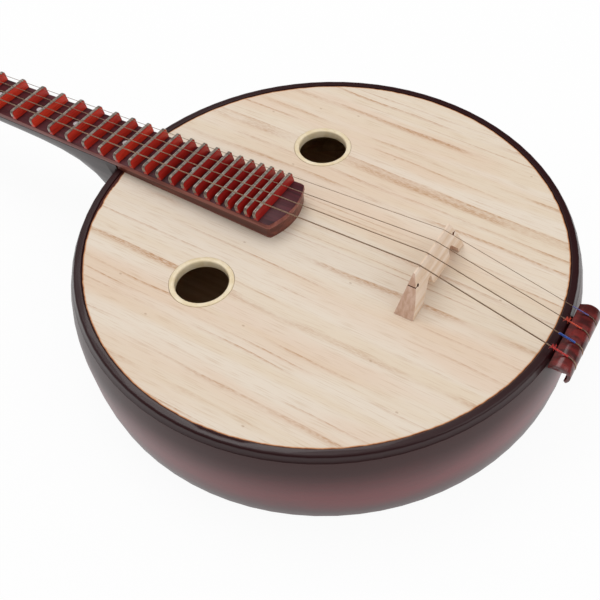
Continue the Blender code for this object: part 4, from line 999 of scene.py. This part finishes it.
def silk_tree():
    """A thread wound round a line, turn beside turn."""
    tree, given = new_tree("silk_wrap", {"Turns": 40, "Steps": 14, "Radius": 0.0006, "Thread": 0.0002})
    curve = put(tree, "GeometryNodeMeshToCurve", {"Mesh": given["Geometry"]}).outputs[0]
    count = put(tree, "ShaderNodeMath", {0: given["Turns"], 1: given["Steps"]}, operation="MULTIPLY")
    curve = put(tree, "GeometryNodeResampleCurve", {"Curve": curve, "Count": count}).outputs[0]
    factor = put(tree, "GeometryNodeSplineParameter").outputs["Factor"]
    turn = put(tree, "ShaderNodeMath", {0: factor, 1: given["Turns"]}, operation="MULTIPLY")
    turn = put(tree, "ShaderNodeMath", {0: turn, 1: 2 * math.pi}, operation="MULTIPLY")
    normal = put(tree, "GeometryNodeInputNormal").outputs[0]
    tangent = put(tree, "GeometryNodeInputTangent").outputs[0]
    spun = put(tree, "ShaderNodeVectorRotate", {"Vector": normal, "Axis": tangent, "Angle": turn}).outputs[0]
    offset = put(tree, "ShaderNodeVectorMath", {
        0: spun, "Scale": given["Radius"]}, operation="SCALE").outputs[0]
    curve = put(tree, "GeometryNodeSetPosition", {"Geometry": curve, "Offset": offset}).outputs[0]
    ring = put(tree, "GeometryNodeCurvePrimitiveCircle", {
        "Resolution": 5, "Radius": given["Thread"]}).outputs[0]
    thread = put(tree, "GeometryNodeCurveToMesh", {
        "Curve": curve, "Profile Curve": ring, "Fill Caps": True}).outputs[0]
    end_tree(tree, thread, given)
    return tree


def on_string(path, y):
    """The point of a string's path at a place along Y, on the tailpiece or just past it."""
    for first, second in zip(path, path[1:]):
        if first.y <= y <= second.y:
            return first.lerp(second, (y - first.y) / (second.y - first.y))
    raise ValueError("no point of the string there")


SILK = silk_tree()
THREADS = (0.22 * MM, 0.34 * MM, 0.20 * MM, 0.18 * MM)
for index, path in enumerate(PATHS):
    upper = path[20:]
    points = [on_string(upper, SILK_START + (SILK_END - SILK_START) * i / 24) for i in range(25)]
    radius = DIAMETERS[index] / 2 + THREADS[index] * 0.6
    turns = int((SILK_START - SILK_END) / (2.1 * THREADS[index]))
    wrap = grow("silk_wrap_%d" % (index + 1), points, SILK, SILKS[index], "instrument",
                {"Turns": turns, "Radius": radius, "Thread": THREADS[index]})
    print(wrap.name, turns, "turns,", len(wrap.data.polygons), "faces")

# %% Tree for the tufts


def tuft_tree():
    """Short bent fibres on the points, each turned at random from a fixed seed."""
    tree, given = new_tree("silk_tuft", {"Length": 0.0026, "Thread": 0.00013, "Seed": 7})
    fibre = put(tree, "GeometryNodeCurveQuadraticBezier", {"Resolution": 5, "Start": (0, 0, 0)})
    half = put(tree, "ShaderNodeMath", {0: given["Length"], 1: 0.5}, operation="MULTIPLY")
    most = put(tree, "ShaderNodeMath", {0: given["Length"], 1: 0.7}, operation="MULTIPLY")
    tip = put(tree, "ShaderNodeCombineXYZ", {"X": half, "Z": given["Length"]}).outputs[0]
    bend = put(tree, "ShaderNodeCombineXYZ", {"Z": most}).outputs[0]
    tree.links.new(bend, fibre.inputs["Middle"])
    tree.links.new(tip, fibre.inputs["End"])
    turn = put(tree, "FunctionNodeRandomValue", {"Min": (-1.7, -1.7, -3.1), "Max": (1.7, 1.7, 3.1),
                                                 "Seed": given["Seed"]}, data_type="FLOAT_VECTOR").outputs[0]
    copies = put(tree, "GeometryNodeInstanceOnPoints", {
        "Points": given["Geometry"], "Instance": fibre.outputs[0], "Rotation": turn}).outputs[0]
    real = put(tree, "GeometryNodeRealizeInstances", {"Geometry": copies}).outputs[0]
    ring = put(tree, "GeometryNodeCurvePrimitiveCircle", {
        "Resolution": 5, "Radius": given["Thread"]}).outputs[0]
    fibres = put(tree, "GeometryNodeCurveToMesh", {
        "Curve": real, "Profile Curve": ring, "Fill Caps": True}).outputs[0]
    end_tree(tree, fibres, given)
    return tree


TUFT = tuft_tree()
for index in (0, 2):
    start = on_string(PATHS[index][20:], SILK_START)
    beside = [start + Vector((0.35 * MM * math.cos(i), -0.12 * MM * i, 0.35 * MM * math.sin(i)))
              for i in range(26)]
    tuft = grow("silk_tuft_%d" % (index + 1), beside, TUFT, SILKS[index], "instrument", joined=False)
    print(tuft.name, len(beside), "fibres")
